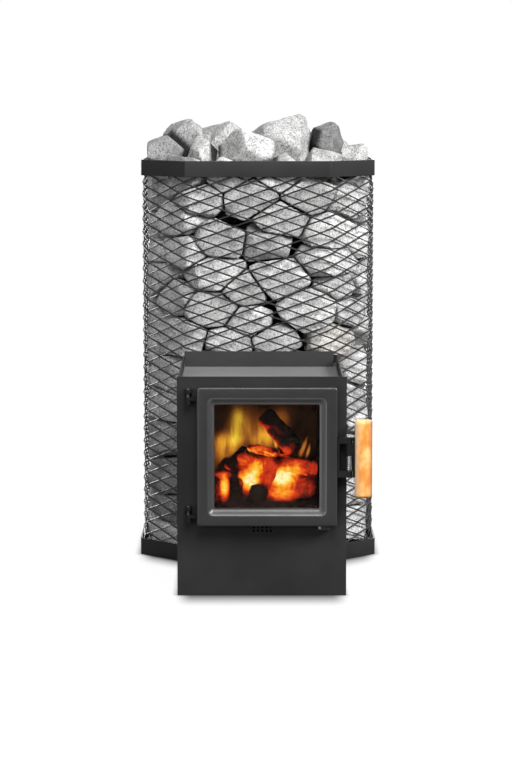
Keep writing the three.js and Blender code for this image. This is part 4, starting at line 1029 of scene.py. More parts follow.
# Cheek outline in Y and Z, stepped over the base band
for sideName in ("left", "right"):
    low, high = boxOf(sideName + "_cheek")
    step = (baseLow[1] - 0.0003, baseHigh[2] + 0.0003)
    outline = [
        (low[1], low[2]), (step[0], low[2]), step, (high[1], step[1]), (high[1], high[2]), (low[1], high[2])]
    cheek = makePiece(
        sideName + "Cheek", [slab(outline, low[0], high[0], 0)], paint, "stove",
        [sideName + "_cheek"])
    roundEdges(cheek, casing["edge"])
boxPiece("topCover", "top_cover", sheenCoverPaint, "stove", casing["edge"])

slideSheet = drilledSheet(
    slideLow, slideHigh, plateHigh[1] + 0.0003, [], airHoles, casing["airHoleRadius"])
slideBack = slideHigh[1]
slidePlate = makePiece("airSlide", [slideSheet], bareSteel, "slide", ["air_slide"], tidy=False)
roundEdges(thicken(slidePlate, slideBack - plateHigh[1] - 0.0003), 0.0003)
tab = makePiece(
    "airSlideTab", [brick((tabLeft, slideLow[1], tabBottom), (tabRight, slideBack - 0.0005, tabTop))],
    tabPaint, "slide", ["air_slide"])
roundEdges(tab, 0.0012, 4)
print("casing: plate with", len(airHoles), "air holes, cheeks, cover, collar and slide")


# Door: pressed frame, glass seals, retainer and screws

door = {
    "edge": 0.004,          # round of the outer edge
    "flat": 0.020,          # inset where the cove starts
    "cove": 0.013,          # width and depth of the cove round the window
    "coveDeep": 0.009,
    "face": 0.012,          # depth of the frame behind its front
    "rim": 0.004,
    "corner": (0.005, 0.011, 0.004),    # corner radii outside, at the cove's rim and at the window
    "windowInset": 0.034,
    "coveSheen": (0.15, 0.85, 0.46, 1.0),    # painted sheen of the cove at the left, right, bottom and top
    "ropeSides": 14,
}
doorCentre = (doorLow + doorHigh)[[0, 2]] / 2
doorHalf = (doorHigh - doorLow)[[0, 2]] / 2


# Frame section from the back of the rim over the rounded edge, across the flat, down an S-shaped
# cove (smooth step of its depth over its width), over the lip and back along the inside
def doorSection():
    front, back = doorLow[1], doorHigh[1]
    outer, rimCorner, inner = door["corner"]
    edge = arc((door["edge"], front + door["edge"]), door["edge"], 180, 270, 8)
    t = np.linspace(0, 1, 12)
    cove = np.stack([door["flat"] + door["cove"] * t, front + door["coveDeep"] * t * t * (3 - 2 * t)], 1)
    lip = door["windowInset"]
    rows = np.concatenate([
        [(0, back)], edge, [(0.5 * door["flat"], front)], cove,
        [(lip, front + door["coveDeep"] + 0.0004), (lip, front + door["face"]),
         (door["rim"], front + door["face"]), (door["rim"], back)]])
    radius = np.interp(rows[:, 0], [0, door["flat"], lip], [outer, rimCorner, inner])
    radius[-2:] = outer
    return np.column_stack([rows, radius])


doorRows = doorSection()
doorFrame = makePiece(
    "doorFrame", [frameLoft(doorRows, doorCentre, doorHalf)], doorPaint, "door", ["door_frame"],
    sharp=48, tidy=False)
inCove = (doorRows[:, 0] > door["flat"]) & (doorRows[:, 1] < doorLow[1] + door["face"])
places = np.zeros(3 * len(doorFrame.data.vertices), np.float32)
doorFrame.data.vertices.foreach_get("co", places)
# Each side's painted sheen, mixed round the corners by the steepness of the way from the window's middle
across, upward = ((places.reshape(-1, 3)[:, [0, 2]] - doorCentre) / (doorHalf - door["flat"])).T
upright = np.clip(0.5 + 6 * (np.abs(upward) - np.abs(across)), 0, 1)
left, right, bottom, top = door["coveSheen"]
# Painted sheen share: strongest at the top and right, faint at the left
coveSheen = (1 - upright) * np.where(across < 0, left, right) + upright * np.where(upward < 0, bottom, top)
setPointValues(doorFrame, "cove", coveSheen * np.repeat(inCove, len(coveSheen) // len(doorRows)))


# UV map of a closed grid: lengths along and across it, unrolled at its seams
def windGrid(piece, countU, countV, lengthU, lengthV):
    mesh = piece.data
    index = np.zeros(len(mesh.loops), np.int32)
    mesh.loops.foreach_get("vertex_index", index)
    u, v = index.reshape(-1, 4) // countV, index.reshape(-1, 4) % countV
    u = np.where((u == 0) & (u.max(1, keepdims=True) == countU - 1), countU, u)
    v = np.where((v == 0) & (v.max(1, keepdims=True) == countV - 1), countV, v)
    layer = mesh.uv_layers.new(name="wind")
    flat = np.stack([v * lengthV / countV, u * lengthU / countU], -1).astype(np.float32)
    layer.data.foreach_set("uv", flat.ravel())


# Rope laid round a rectangle: an oval section, corner radius less the inset
def ropeRing(name, node, width, corner, body):
    low, high = boxOf(node)
    angle = np.linspace(0, 2 * np.pi, door["ropeSides"], endpoint=False)
    inset = width / 2 * (1 - np.cos(angle))
    y = (low[1] + high[1]) / 2 + (high[1] - low[1]) / 2 * np.sin(angle)
    section = np.column_stack([inset, y, corner - inset])
    centre, half = (low + high)[[0, 2]] / 2, (high - low)[[0, 2]] / 2
    piece = makePiece(
        name, [frameLoft(section, centre, half)], sealRope, body, [node])
    windGrid(piece, len(section), 32, width * 2.4, 4 * (half[0] + half[1]))


ropeRing("doorSeal", "door_gasket", 0.010, 0.018, "door")
ropeRing("glassSeal", "glass_gasket", 0.0042, 0.0075, "door")
retainerLow, retainerHigh = boxOf("glass_retainer")
retainerWide = (retainerHigh[0] - retainerLow[0]) / 2 - (doorHalf[0] - door["windowInset"])
retainerSection = [
    (0, retainerLow[1], 0.003), (0, retainerHigh[1], 0.003),
    (retainerWide, retainerHigh[1], 0.004), (retainerWide, retainerLow[1], 0.004)]
retainer = makePiece(
    "glassRetainer",
    [frameLoft(retainerSection, (retainerLow + retainerHigh)[[0, 2]] / 2,
               (retainerHigh - retainerLow)[[0, 2]] / 2, 5)],
    paint, "door", ["glass_retainer"])
roundEdges(retainer, 0.0006)

screw = {"head": 0.004, "headHeight": 0.0025, "shank": 0.002, "socket": 0.0018, "round": 0.0006}


# Screw with its tip at height 0: shank, rounded head and a drilled socket, turned about its axis
def screwProfile(length):
    under, top = length - screw["headHeight"], length
    head, r = screw["head"], screw["round"]
    return np.concatenate([
        [(0, 0), (0.6 * screw["shank"], 0), (screw["shank"], 0.0012), (screw["shank"], under), (head - r, under)],
        arc((head - r, under + r), r, -90, 0, 4), arc((head - r, top - r), r, 0, 90, 4),
        [(screw["socket"] + 0.0003, top), (screw["socket"], top - 0.0003),
         (screw["socket"], top - 0.0015), (0, top - 0.0015)]])


for corner in ("upper_left", "upper_right", "lower_left", "lower_right"):
    node = "retainer_screw_" + corner
    low, high = boxOf(node)
    centre = ((low[0] + high[0]) / 2, low[1], (low[2] + high[2]) / 2)
    makePiece(
        "retainerScrew" + corner.title().replace("_", ""), [turned(screwProfile(high[1] - low[1]), centre, 1, 24)],
        bareSteel, "door", [node], sharp=40)
print("door: frame, seals, retainer and four screws")


# Hinges and latch

hinge = {
    "lug": 0.007, "ear": 0.008, "tongue": 0.006, "backPlate": 0.003, "bore": 0.0032, "edge": 0.0009,
    "room": 0.0003,
}


# Eye with a bore: outer lug outline and inner circle at the same angles, low and high, as one closed grid
def eye(pin, radius, bore, reach, angle, low, high):
    outer = lugOutline(pin, radius, reach, angle)
    away = outer - np.asarray(pin)
    inner = np.asarray(pin) + bore * away / np.linalg.norm(away, axis=1, keepdims=True)
    rows = [(outer, low), (outer, high), (inner, high), (inner, low)]
    points = np.stack([np.column_stack([plan, np.full(len(plan), z)]) for plan, z in rows])
    return points, [gridFaces(4, len(outer), closeU=True, closeV=True)]


# Round bar along Z with a domed nose at each end
def domedPin(low, high):
    radius = (high[0] - low[0]) / 2
    dome = 0.6 * radius
    t = np.linspace(0, np.pi / 2, 6)
    lower = np.stack([radius * np.sin(t), low[2] + dome * (1 - np.cos(t))], 1)
    upper = np.stack([radius * np.cos(t), high[2] - dome * (1 - np.sin(t))], 1)
    centre = ((low[0] + high[0]) / 2, (low[1] + high[1]) / 2, 0)
    return turned(np.concatenate([lower, upper]), centre, 2, 28)


for level in ("upper", "lower"):
    pinLow, pinHigh = boxOf("hinge_pin_" + level)
    pin = (pinLow + pinHigh)[:2] / 2
    low, high = boxOf("hinge_bracket_" + level)
    tongueLow, tongueHigh = boxOf("hinge_tongue_" + level)
    reach = high[1] - pin[1]
    back = brick((low[0], high[1] - hinge["backPlate"], low[2]), high)
    ears = [
        eye(pin, hinge["lug"], hinge["bore"], reach - 0.0005, math.pi / 2, z, z + hinge["ear"])
        for z in (low[2], high[2] - hinge["ear"])]
    bracket = makePiece(
        "hingeBracket" + level.title(), [*ears, back], blackPaint, "stove",
        ["hinge_bracket_" + level])
    roundEdges(bracket, hinge["edge"])
    makePiece(
        "hingePin" + level.title(), [domedPin(pinLow, pinHigh)], tabPaint, "stove",
        ["hinge_pin_" + level], sharp=60)
    tongue = makePiece(
        "hingeTongue" + level.title(),
        [eye(pin, hinge["lug"], hinge["bore"], tongueHigh[0] - pin[0], 0, tongueLow[2], tongueHigh[2])],
        blackPaint, "door", ["hinge_tongue_" + level])
    roundEdges(tongue, hinge["edge"])

latch = {
    "sidePlate": 0.004, "ear": 0.012, "lug": 0.007, "bore": 0.0032, "edge": 0.0012, "room": 0.0003,
    "strip": 0.0035, "knuckle": 0.0237, "noseWide": 0.007, "noseFromPin": 0.003, "noseTrim": 0.002,
    "web": 0.0015, "webReach": 0.003, "leverWeb": (0.005, 0.001), "springWire": 0.0009, "springTurns": 7, "springSteps": 26, "springRadius": 0.0048,
}
latchLow, latchHigh = boxOf("latch_bracket")
latchPinLow, latchPinHigh = boxOf("latch_pin")
latchPin = (latchPinLow + latchPinHigh)[:2] / 2
leverLow, leverHigh = boxOf("handle_lever")
stripLow = np.array([leverHigh[0] - latch["strip"], latchLow[1], latchLow[2]])
stripHigh = np.array([leverHigh[0], latchHigh[1], latchHigh[2]])
latchReach = latchPin[0] - latchLow[0]
sidePlate = brick(latchLow, (latchLow[0] + latch["sidePlate"], latchHigh[1], latchHigh[2]))
latchEars = [
    eye(latchPin, latch["lug"], latch["bore"], latchReach - 0.0005, math.pi, z, z + latch["ear"])
    for z in (latchLow[2], latchHigh[2] - latch["ear"])]
knuckleTop = latchHigh[2] - latch["ear"] - latch["room"]
knuckleLow = knuckleTop - latch["knuckle"]
webLow = latchPin[1] + latch["lug"] + latch["room"]
webs = [
    brick((latchLow[0] + 0.001, webLow, low), (latchPin[0] + latch["webReach"], webLow + latch["web"], high))
    for low, high in ((latchLow[2], knuckleLow - latch["room"]), (knuckleTop + latch["room"], latchHigh[2]))]
bracket = makePiece(
    "latchBracket", [sidePlate, *latchEars, *webs], blackPaint, "door", ["latch_bracket"])
roundEdges(bracket, latch["edge"])
makePiece(
    "latchPin", [domedPin(latchPinLow, latchPinHigh)], bareSteel, "door", ["latch_pin"], sharp=60)
noseLeft = latchPin[0] - latch["noseFromPin"]
nose = brick(
    (noseLeft, latchPin[1] + 0.004, knuckleLow + latch["noseTrim"]),
    (noseLeft + latch["noseWide"], leverHigh[1], knuckleTop - latch["noseTrim"]))
leverWeb = brick(
    (latchPin[0] + latch["leverWeb"][0], latchPin[1], latchLow[2] + latch["ear"] + latch["room"]),
    (stripLow[0] + 0.001, latchPin[1] + latch["leverWeb"][1], knuckleTop))
lever = makePiece(
    "handleLever",
    [brick(stripLow, stripHigh), nose, leverWeb,
     eye(latchPin, latch["lug"], latch["bore"], stripHigh[0] - latchPin[0] - 0.0005, 0, knuckleLow, knuckleTop)],
    blackPaint, "handle", ["handle_lever"])
roundEdges(lever, latch["edge"])


# Spring: a round wire section carried along a helix that closes up to flat end coils
def latchSpring():
    low, high = boxOf("latch_spring")
    turns = np.linspace(0, latch["springTurns"], latch["springTurns"] * latch["springSteps"])
    angle = 2 * np.pi * turns
    closing = np.interp(turns, [0, 1, latch["springTurns"] - 1, latch["springTurns"]], [0.03, 0.11, 0.89, 0.97])
    wire = latch["springWire"]
    height = low[2] + wire + closing * (high[2] - low[2] - 2 * wire)
    out = np.stack([np.cos(angle), np.sin(angle), np.zeros_like(angle)], 1)
    path = out * latch["springRadius"] + np.stack([0 * angle, 0 * angle, height], 1)
    path[:, :2] += latchPin
    along = np.gradient(path, axis=0)
    along /= np.linalg.norm(along, axis=1, keepdims=True)
    side = np.cross(along, out)
    ring = np.linspace(0, 2 * np.pi, 10, endpoint=False)
    points = path[:, None] + wire * (
        np.cos(ring)[None, :, None] * out[:, None] + np.sin(ring)[None, :, None] * side[:, None])
    return points, [gridFaces(len(path), 10, closeV=True)]


makePiece(
    "latchSpring", [latchSpring()], bareSteel, "door", ["latch_spring"], sharp=60, fillEnds=10)

grip = {"corner": 0.011, "dome": 0.006, "squareness": 2.6, "steps": 48, "rows": 40}
gripLow, gripHigh = boxOf("handle_grip")


# Wooden bar: a superellipse section, |x|^p + |y|^p = 1, that draws in over a dome at each end
def gripBar():
    middle, half = (gripLow + gripHigh) / 2, (gripHigh - gripLow) / 2
    angle = np.linspace(0, 2 * np.pi, grip["steps"], endpoint=False)
    p = grip["squareness"]
    reach = (np.abs(np.cos(angle)) ** p + np.abs(np.sin(angle)) ** p) ** (-1 / p)
    turn = np.linspace(0, np.pi / 2, 9)
    dome = grip["dome"]
    drawn = np.concatenate([[-half[0]], -dome * (1 - np.sin(turn)), np.zeros(grip["rows"]),
                            -dome * (1 - np.sin(turn[::-1])), [-half[0]]])
    body = np.linspace(-half[2] + dome, half[2] - dome, grip["rows"] + 2)[1:-1]
    end = half[2] - dome + dome * np.cos(turn)
    height = np.concatenate([[-half[2]], -end, body, end[::-1], [half[2]]])
    wave = 1 + 0.008 * latticeNoise(np.stack([0 * height, 0 * height, height + middle[2]], 1), 0.03, 5)
    x = middle[0] + (half[0] + drawn)[:, None] * reach * np.cos(angle) * wave[:, None]
    y = middle[1] + (half[1] + drawn)[:, None] * reach * np.sin(angle) * wave[:, None]
    points = np.stack([x, y, np.broadcast_to((middle[2] + height)[:, None], x.shape)], -1)
    return points, [gridFaces(len(height), len(angle), closeV=True)]


makePiece("handleGrip", [gripBar()], gripWood, "handle", ["handle_grip"], sharp=60)
for level in ("lower", "upper"):
    low, high = boxOf("grip_screw_" + level)
    profile = screwProfile(high[0] - low[0]) * (1, -1)
    centre = (high[0], (low[1] + high[1]) / 2, (low[2] + high[2]) / 2)
    makePiece(
        "gripScrew" + level.title(), [turned(profile, centre, 0, 24)], bareSteel, "handle",
        ["grip_screw_" + level], sharp=40)

flue = {"wall": 0.004, "roll": 0.003, "seam": 0.0012}


# Flue spigot: tube with a swaged bead and a rolled outer rim, turned about Y
def flueProfile():
    outer = (flueHigh[0] - flueLow[0]) / 2
    inner, near, far = outer - flue["wall"], flueLow[1], flueHigh[1]
    beadAt = far - 0.014
    bead = np.stack([
        outer + flue["seam"] * (np.cos(np.linspace(-np.pi, np.pi, 12)) - 1) / 2,
        beadAt + np.linspace(-0.004, 0.004, 12)], 1)
    rim = arc(((outer + inner) / 2, far - flue["wall"] / 2), flue["wall"] / 2, 0, 180, 8)
    return np.concatenate([[(inner, near), (outer - flue["seam"], near), (outer - flue["seam"], beadAt - 0.005)],
                           bead, [(outer - flue["seam"], beadAt + 0.005)], rim, [(inner, near)]])


makePiece(
    "flueSpigot", [turned(flueProfile(), (flueAt[0], 0, flueAt[2]), 1, 72)], rawPlate, "stove",
    ["flue_collar"], sharp=50)
print("hinges, latch, grip and flue spigot made")


# Fire on the floor of the fuel tunnel, behind the glass

fire = {
    "seed": 4,
    "floor": ductLow[2] + casing["ductWall"],
    "near": -0.565, "far": -0.31,       # reach of the ember bed along the tunnel
    "bedRise": 0.062,                   # how much higher the bed lies at the back
    "middle": -0.48, "slope": 0.147,
    "shaded": (0.56, 0.46, 0.69),         # the way that a log's unlit side faces away from
    "bark": 0.16,
    "logSteps": 40, "logRows": 30,
}
# Hot places: x, z, widths in x and z, heat
hotSpots = np.array([
    (-0.015, 0.210, 0.017, 0.021, 0.96), (-0.001, 0.236, 0.014, 0.015, 0.78), (0.048, 0.215, 0.025, 0.018, 0.98),
    (0.049, 0.184, 0.028, 0.012, 0.70), (-0.067, 0.196, 0.008, 0.020, 0.86), (-0.028, 0.249, 0.018, 0.014, 0.54),
    (0.022, 0.232, 0.014, 0.026, 0.53), (0.072, 0.229, 0.022, 0.009, 0.78), (0.056, 0.267, 0.014, 0.011, 0.54),
    (0.002, 0.272, 0.020, 0.007, 0.60), (-0.034, 0.213, 0.005, 0.014, 0.62), (0.096, 0.197, 0.018, 0.018, 0.38),
    (0.111, 0.233, 0.010, 0.014, 0.44), (-0.071, 0.221, 0.016, 0.006, 0.47), (-0.081, 0.189, 0.005, 0.018, 0.42),
    (0.075, 0.244, 0.026, 0.008, 0.52)])


# Heat: flat-topped bell curves about the hot places, joined by the cube root of the sum of their cubes; the hot places
# lie on the plane y = middle and each reaches to both sides of it along a line that falls by slope
def heatAt(points):
    height = points[..., 2] + fire["slope"] * (points[..., 1] - fire["middle"])
    across = (points[..., 0, None] - hotSpots[:, 0]) / hotSpots[:, 2]
    upward = (height[..., None] - hotSpots[:, 1]) / hotSpots[:, 3]
    bells = hotSpots[:, 4] * np.exp(-((across ** 2 + upward ** 2) / 2) ** 1.5)
    return np.cbrt(np.sum(bells ** 3, axis=-1))


# Split log: a rounded wedge section, r (1 + 0.16 cos 3a), along a straight axis, with rough bark and worn ends
def logShell(start, end, radiusStart, radiusEnd, seed):
    start, end = np.array(start), np.array(end)
    along = end - start
    length = np.linalg.norm(along)
    along = along / length
    side = np.cross(along, (0, 1, 0))
    side /= np.linalg.norm(side)
    across = np.cross(side, along)
    t = np.linspace(0, 1, fire["logRows"])
    angle = np.linspace(0, 2 * np.pi, fire["logSteps"], endpoint=False)
    radius = radiusStart + (radiusEnd - radiusStart) * t
    greyedSide = np.clip(np.minimum(t, 1 - t) * length / 0.006, 0, 1) ** 0.5
    wedge = 1 + fire["bark"] * np.cos(3 * angle + seed)
    ring = np.cos(angle)[:, None] * side + np.sin(angle)[:, None] * across
    points = start + (t * length)[:, None, None] * along
    points = points + (radius * greyedSide)[:, None, None] * (wedge[:, None] * ring)[None]
    rough = latticeNoise(points, 0.011, seed) * 0.0022 + latticeNoise(points, 0.004, seed + 9) * 0.0008
    points = points + (greyedSide[:, None] * rough)[..., None] * ring[None]
    return points, [gridFaces(len(t), len(angle), closeV=True)]


def coalShell(middle, size, seed):
    source = np.random.default_rng(seed)
    around, quads = ballGrid(10)
    cuts = source.normal(size=(13, 3))
    cuts /= np.linalg.norm(cuts, axis=1, keepdims=True)
    pull = np.maximum(around @ (cuts / (0.72 + 0.28 * source.random(13))[:, None]).T, 0)
    radius = np.sum(pull ** 10, axis=1) ** -0.1
    radius = np.minimum(radius, 1.35) * (1 + 0.08 * latticeNoise(around + seed, 0.4, seed))
    return np.array(middle) + around * radius[:, None] * np.array(size), [quads]


# Ember bed: a field of rounded coals that rises to the back, closed by a flat underside
def emberBed():
    x = np.linspace(mouth[0][0] + 0.004, mouth[1][0] - 0.004, 110)
    y = np.linspace(fire["near"], fire["far"], 120)
    gridX, gridY = np.meshgrid(x, y, indexing="ij")
    flat = np.stack([gridX, gridY, np.zeros_like(gridX)], -1)
    rise = np.clip((gridY - fire["near"] - 0.03) / 0.14, 0, 1)
    lumps = 0.5 + 0.5 * latticeNoise(flat, 0.021, 3) + 0.22 * latticeNoise(flat, 0.009, 8)
    u, v = np.linspace(0, 1, 110)[:, None], np.linspace(0, 1, 120)[None]
    edge = np.clip(8 * np.minimum(np.minimum(u, 1 - u), np.minimum(v, 1 - v)), 0, 1) ** 0.5
    height = edge * (0.004 + fire["bedRise"] * rise * rise * (3 - 2 * rise) + 0.016 * lumps)
    top = np.stack([gridX, gridY, fire["floor"] + height], -1)
    under = np.stack([gridX, gridY, np.full_like(gridX, fire["floor"])], -1)
    faces = gridFaces(110, 120)
    return [(top, [faces]), (under, [faces[:, ::-1]])]


# A piece of the fire takes the heat of its place, less what it is cooler and up to its hottest, and glows
# more on its underside
def firePiece(name, shells, cooler=0.0, under=0.0, hottest=1.3):
    piece = makePiece(name, shells, charredWood, "stove")
    points, normals = np.zeros((2, 3 * len(piece.data.vertices)), np.float32)
    piece.data.vertices.foreach_get("co", points)
    piece.data.vertices.foreach_get("normal", normals)
    down = np.clip(-normals.reshape(-1, 3) @ fire["shaded"], 0, 1)
    heat = np.clip(heatAt(points.reshape(-1, 3)) - cooler, 0, hottest)
    setPointValues(piece, "ember", np.maximum(heat, under * down ** 1.5))


firePiece("emberBed", emberBed())
# Logs: start, end, radii at both ends, how much cooler than the fire round them, glow of the underside, hottest
logs = [
    ((0.012, -0.418, 0.337), (0.078, -0.470, 0.269), 0.0172, 0.0205, 0.06, 0.52, 0.58),
    ((0.049, -0.470, 0.244), (0.108, -0.470, 0.232), 0.0130, 0.0145, 0.00, 0.60, 0.72),
    ((0.029, -0.500, 0.255), (0.016, -0.510, 0.192), 0.0165, 0.0065, 0.00, 0.60, 0.47),
    ((0.006, -0.530, 0.209), (-0.006, -0.545, 0.168), 0.0160, 0.0183, 0.95, 0.12, 0.30),
    ((-0.046, -0.510, 0.221), (-0.043, -0.515, 0.165), 0.0122, 0.0130, 0.30, 0.25, 0.34),
    ((-0.084, -0.490, 0.223), (-0.038, -0.485, 0.222), 0.0069, 0.0076, 0.00, 0.45, 0.80),
    ((-0.081, -0.510, 0.216), (-0.080, -0.515, 0.165), 0.0053, 0.0069, 0.05, 0.30, 0.60),
    ((-0.065, -0.450, 0.229), (-0.023, -0.440, 0.271), 0.0107, 0.0092, 0.45, 0.45, 0.60),
    ((-0.023, -0.450, 0.272), (0.044, -0.455, 0.261), 0.0076, 0.0084, 0.00, 0.75, 0.85)]
for k, (start, end, radiusStart, radiusEnd, cooler, under, hottest) in enumerate(logs):
    firePiece("log" + str(k + 1), [logShell(start, end, radiusStart, radiusEnd, k + 2)], cooler, under, hottest)
# Coals: middle and half sizes
coals = [
    ((0.093, -0.525, 0.198), (0.021, 0.018, 0.020)), ((-0.023, -0.460, 0.249), (0.0168, 0.015, 0.0137)),
    ((0.110, -0.470, 0.229), (0.0107, 0.012, 0.0137)), ((0.058, -0.450, 0.196), (0.020, 0.016, 0.012)),
    ((-0.066, -0.450, 0.192), (0.014, 0.016, 0.014)), ((-0.014, -0.450, 0.192), (0.018, 0.016, 0.012))]
firePiece("coals", [coalShell(middle, size, k + 30) for k, (middle, size) in enumerate(coals)])

# Flame curtain behind the logs: bright places with x, z, widths, strength and green
curtainSpots = np.array([
    (-0.047, 0.300, 0.011, 0.024, 0.54, 0.7), (-0.066, 0.280, 0.018, 0.011, 0.52, 0.1),
    (-0.039, 0.322, 0.010, 0.018, 0.32, 1.0), (-0.012, 0.302, 0.024, 0.028, 0.42, 0.1),
    (0.046, 0.318, 0.013, 0.018, 0.50, 0.0), (-0.074, 0.246, 0.015, 0.022, 0.46, 0.0),
    (0.012, 0.282, 0.018, 0.018, 0.52, 0.0), (-0.056, 0.262, 0.020, 0.014, 0.34, 0.0)])


# Curtain: a waved sheet across the tunnel; its strength is the sum of bell curves about the bright places
def flameCurtain():
    x, z = np.meshgrid(np.linspace(-0.096, 0.118, 90), np.linspace(0.205, 0.384, 80), indexing="ij")
    flat = np.stack([x, 0 * x, z], -1)
    points = flat + np.array([0, 1, 0]) * (0.008 * latticeNoise(flat, 0.05, 21) - 0.400)[..., None]
    across = (x[..., None] - curtainSpots[:, 0]) / curtainSpots[:, 2]
    upward = (z[..., None] - curtainSpots[:, 1]) / curtainSpots[:, 3]
    bells = curtainSpots[:, 4] * np.exp(-0.5 * (across ** 2 + upward ** 2))
    strength = np.sum(bells, axis=-1)
    green = np.sum(bells * curtainSpots[:, 5], axis=-1) / (strength + 0.001)
    return [(points, [gridFaces(90, 80)])], strength.ravel(), green.ravel()


shells, strength, green = flameCurtain()
curtain = makePiece("flameCurtain", shells, flameVeil, "stove", tidy=False)
setPointValues(curtain, "strength", strength)
setPointValues(curtain, "green", green)

# Flame tongues: foot x, foot z, height, half width, lean in x, strength, y
tongues = [
    (0.086, 0.250, 0.050, 0.007, 0.016, 0.62, -0.450), (0.098, 0.250, 0.034, 0.005, 0.008, 0.50, -0.452),
    (0.036, 0.268, 0.044, 0.006, -0.008, 0.55, -0.450)]


# Tongue: a lens whose width swells and tapers with height, w(v) = sin(pi v^0.6)^0.8, bent by a lean
def flameTongue(footX, footZ, height, wide, lean, y, seed):
    v = np.linspace(0, 1, 36)[:, None]
    u = np.linspace(-1, 1, 21)[None]
    swell = np.sin(np.pi * np.clip(v, 0, 1) ** 0.6) ** 0.8
    wobble = 0.22 * wide * latticeNoise(np.stack([v * 3, 0 * v, 0 * v], -1), 0.5, seed)
    x = footX + lean * v ** 1.5 + wobble + u * wide * swell
    z = footZ + height * v + 0 * u
    deep = 0.006 * np.sqrt(np.clip(1 - u * u, 0, 1)) * swell
    front, back = [np.stack([x, y + way * deep, z], -1) for way in (-1, 1)]
    faces = gridFaces(36, 21)
    strength = (1 - u * u) * np.sin(np.pi * v ** 0.7) ** 0.9
    return [(front, [faces]), (back, [faces[:, ::-1]])], strength.ravel()


for k, (footX, footZ, height, wide, lean, strong, y) in enumerate(tongues):
    shells, strength = flameTongue(footX, footZ, height, wide, lean, y, k + 50)
    piece = makePiece("flame" + str(k + 1), shells, flameVeil, "stove", tidy=False)
    setPointValues(piece, "strength", np.tile(strong * strength, 2))
    setPointValues(piece, "green", np.zeros(2 * len(strength)))
print("fire:", len(logs), "logs,", len(coals), "coals, a curtain and", len(tongues), "tongues of flame")


# Camera, light and floor

cameraData = bpy.data.cameras.new("camera")
cameraData.lens = 124.13
cameraData.sensor_width = 36
camera = bpy.data.objects.new("camera", cameraData)
camera.location = (-0.0039, -5.7155, 1.0192)
camera.rotation_euler = (math.pi / 2 - 0.1171, 0, 0)
scene.collection.objects.link(camera)
scene.camera = camera

lamps = {
    "key": {"at": (2.6, -1.8, 2.25), "aim": (0, -0.2, 0.6), "size": 1.2, "power": 196},
    "fill": {"at": (-1.9, -3.6, 0.8), "aim": (0, -0.3, 0.45), "size": 2.0, "power": 54},
    "top": {"at": (0.15, -2.3, 2.4), "aim": (0, -0.3, 0.6), "size": 1.4, "power": 76},
    "back": {"at": (0.6, 3.4, 2.2), "aim": (0, 0, 0.45), "size": 2.4, "power": 190},
    "side": {"at": (-2.3, 2.8, 1.5), "aim": (0, 0, 0.45), "size": 1.8, "power": 90},
}
for name, lamp in lamps.items():
    light = bpy.data.lights.new(name, "AREA")
    light.size = lamp["size"]
    light.energy = lamp["power"]
    holder = bpy.data.objects.new(name, light)
    way = np.array(lamp["aim"]) - np.array(lamp["at"])
    flat = math.hypot(way[0], way[1])
    holder.location = lamp["at"]
    holder.rotation_euler = (math.pi / 2 + math.atan2(way[2], flat), 0, math.atan2(way[1], way[0]) - math.pi / 2)
    scene.collection.objects.link(holder)


# 1 for camera and transmission rays, less for glossy ones, 0 for rays that carry light to the object
def seenRays(tree):
    path = tree.nodes.new("ShaderNodeLightPath")
    dimmed = tree.nodes.new("ShaderNodeMath")
    dimmed.operation = "MULTIPLY"
    tree.links.new(path.outputs["Is Glossy Ray"], dimmed.inputs[0])
    dimmed.inputs[1].default_value = glossShare
    total = path.outputs["Is Camera Ray"]
    for ray in (dimmed.outputs["Value"], path.outputs["Is Transmission Ray"]):
        larger = tree.nodes.new("ShaderNodeMath")
        larger.operation = "MAXIMUM"
        tree.links.new(total, larger.inputs[0])
        tree.links.new(ray, larger.inputs[1])
        total = larger.outputs["Value"]
    return total


glossShare = 0.4
ambient = 0.07
world = bpy.data.worlds.new("studio")
scene.world = world
world.use_nodes = True
tree = world.node_tree
backdrop = tree.nodes["Background"]
backdrop.inputs["Color"].default_value = (1, 1, 1, 1)
level = tree.nodes.new("ShaderNodeMapRange")
level.inputs["To Min"].default_value = ambient
level.inputs["To Max"].default_value = 1.0
tree.links.new(seenRays(tree), level.inputs["Value"])
tree.links.new(level.outputs["Result"], backdrop.inputs["Strength"])

floorSize = 30.0
floorMesh = bpy.data.meshes.new("floor")
floorMesh.from_pydata(
    [(x * floorSize, y * floorSize, -0.0002) for x, y in ((-1, -1), (1, -1), (1, 1), (-1, 1))], [], [(0, 1, 2, 3)])
floorPaint = bpy.data.materials.new("paleFloor")
floorPaint.use_nodes = True
tree = floorPaint.node_tree
floorShader = tree.nodes["Principled BSDF"]
floorShader.inputs["Base Color"].default_value = (0.05, 0.05, 0.05, 1)
floorShader.inputs["Roughness"].default_value = 1.0
floorShader.inputs["Specular IOR Level"].default_value = 0.0
floorShader.inputs["Emission Color"].default_value = (1, 1, 1, 1)
# White floor: its own glow rises with the distance from the stove, and dims with painted contact shade where the base
# stands close
away = tree.nodes.new("ShaderNodeVectorMath")
away.operation = "LENGTH"
place = tree.nodes.new("ShaderNodeTexCoord")
tree.links.new(place.outputs["Object"], away.inputs[0])
glow = tree.nodes.new("ShaderNodeMapRange")
for key, value in zip(("From Min", "From Max", "To Min", "To Max"), (0.8, 2.4, 0.96, 1.0)):
    glow.inputs[key].default_value = value
tree.links.new(away.outputs["Value"], glow.inputs["Value"])
closeBy = tree.nodes.new("ShaderNodeAmbientOcclusion")
closeBy.inputs["Distance"].default_value = 0.016
paintedContactShade = tree.nodes.new("ShaderNodeMapRange")
for key, value in zip(("From Min", "From Max", "To Min", "To Max"), (0.45, 1.0, 0.4, 1.0)):
    paintedContactShade.inputs[key].default_value = value
tree.links.new(closeBy.outputs["AO"], paintedContactShade.inputs["Value"])


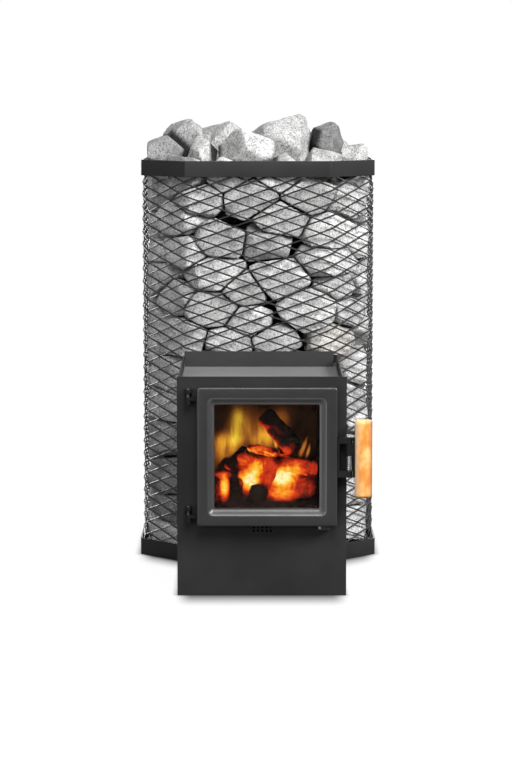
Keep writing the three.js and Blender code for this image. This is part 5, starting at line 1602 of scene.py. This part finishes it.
# Smooth step of the distance along a direction, from one value to another
def stepAlong(direction, start, end):
    product = tree.nodes.new("ShaderNodeVectorMath")
    product.operation = "DOT_PRODUCT"
    product.inputs[1].default_value = direction
    tree.links.new(place.outputs["Object"], product.inputs[0])
    step = tree.nodes.new("ShaderNodeMapRange")
    step.interpolation_type = "SMOOTHSTEP"
    for key, value in zip(("From Min", "From Max", "To Min", "To Max"), (start, end, 0.0, 1.0)):
        step.inputs[key].default_value = value
    tree.links.new(product.outputs["Value"], step.inputs["Value"])
    return step.outputs["Result"]


def joined(operation, *values):
    total = values[0]
    for value in values[1:]:
        made = tree.nodes.new("ShaderNodeMath")
        made.operation = operation
        tree.links.new(total, made.inputs[0])
        tree.links.new(value, made.inputs[1])
        total = made.outputs["Value"]
    return total


# Soft shadows on the floor before the front plate and before the two front corners of the base: each fades
# with the distance from its edge and at both ends
corner = math.sqrt(0.5)
sideways = (1, 0, 0)
baseOut = boxOf("base_ring")[1][0]
bands = []
for outward, edge, reach, ends in (
        ((0, -1, 0), -plateLow[1], 0.13, (plateLow[0], plateHigh[0])),
        ((-corner, -corner, 0), cornerReach + 0.0028, 0.08, (-baseOut, -0.1)),
        ((corner, -corner, 0), cornerReach + 0.0028, 0.08, (0.1, baseOut))):
    bands.append(joined(
        "MULTIPLY", stepAlong(outward, edge + reach, edge - 0.03), stepAlong(outward, edge - 0.08, edge - 0.04),
        stepAlong(sideways, ends[0] - 0.012, ends[0] + 0.03),
        stepAlong(sideways, ends[1] + 0.012, ends[1] - 0.03)))
shadow = tree.nodes.new("ShaderNodeMapRange")
shadow.inputs["To Min"].default_value = 1.0
shadow.inputs["To Max"].default_value = 0.02
tree.links.new(joined("MAXIMUM", *bands), shadow.inputs["Value"])
strength = joined(
    "MULTIPLY", seenRays(tree), glow.outputs["Result"], paintedContactShade.outputs["Result"], shadow.outputs["Result"])
tree.links.new(strength, floorShader.inputs["Emission Strength"])
floorMesh.materials.append(floorPaint)
floor = bpy.data.objects.new("floor", floorMesh)
scene.collection.objects.link(floor)
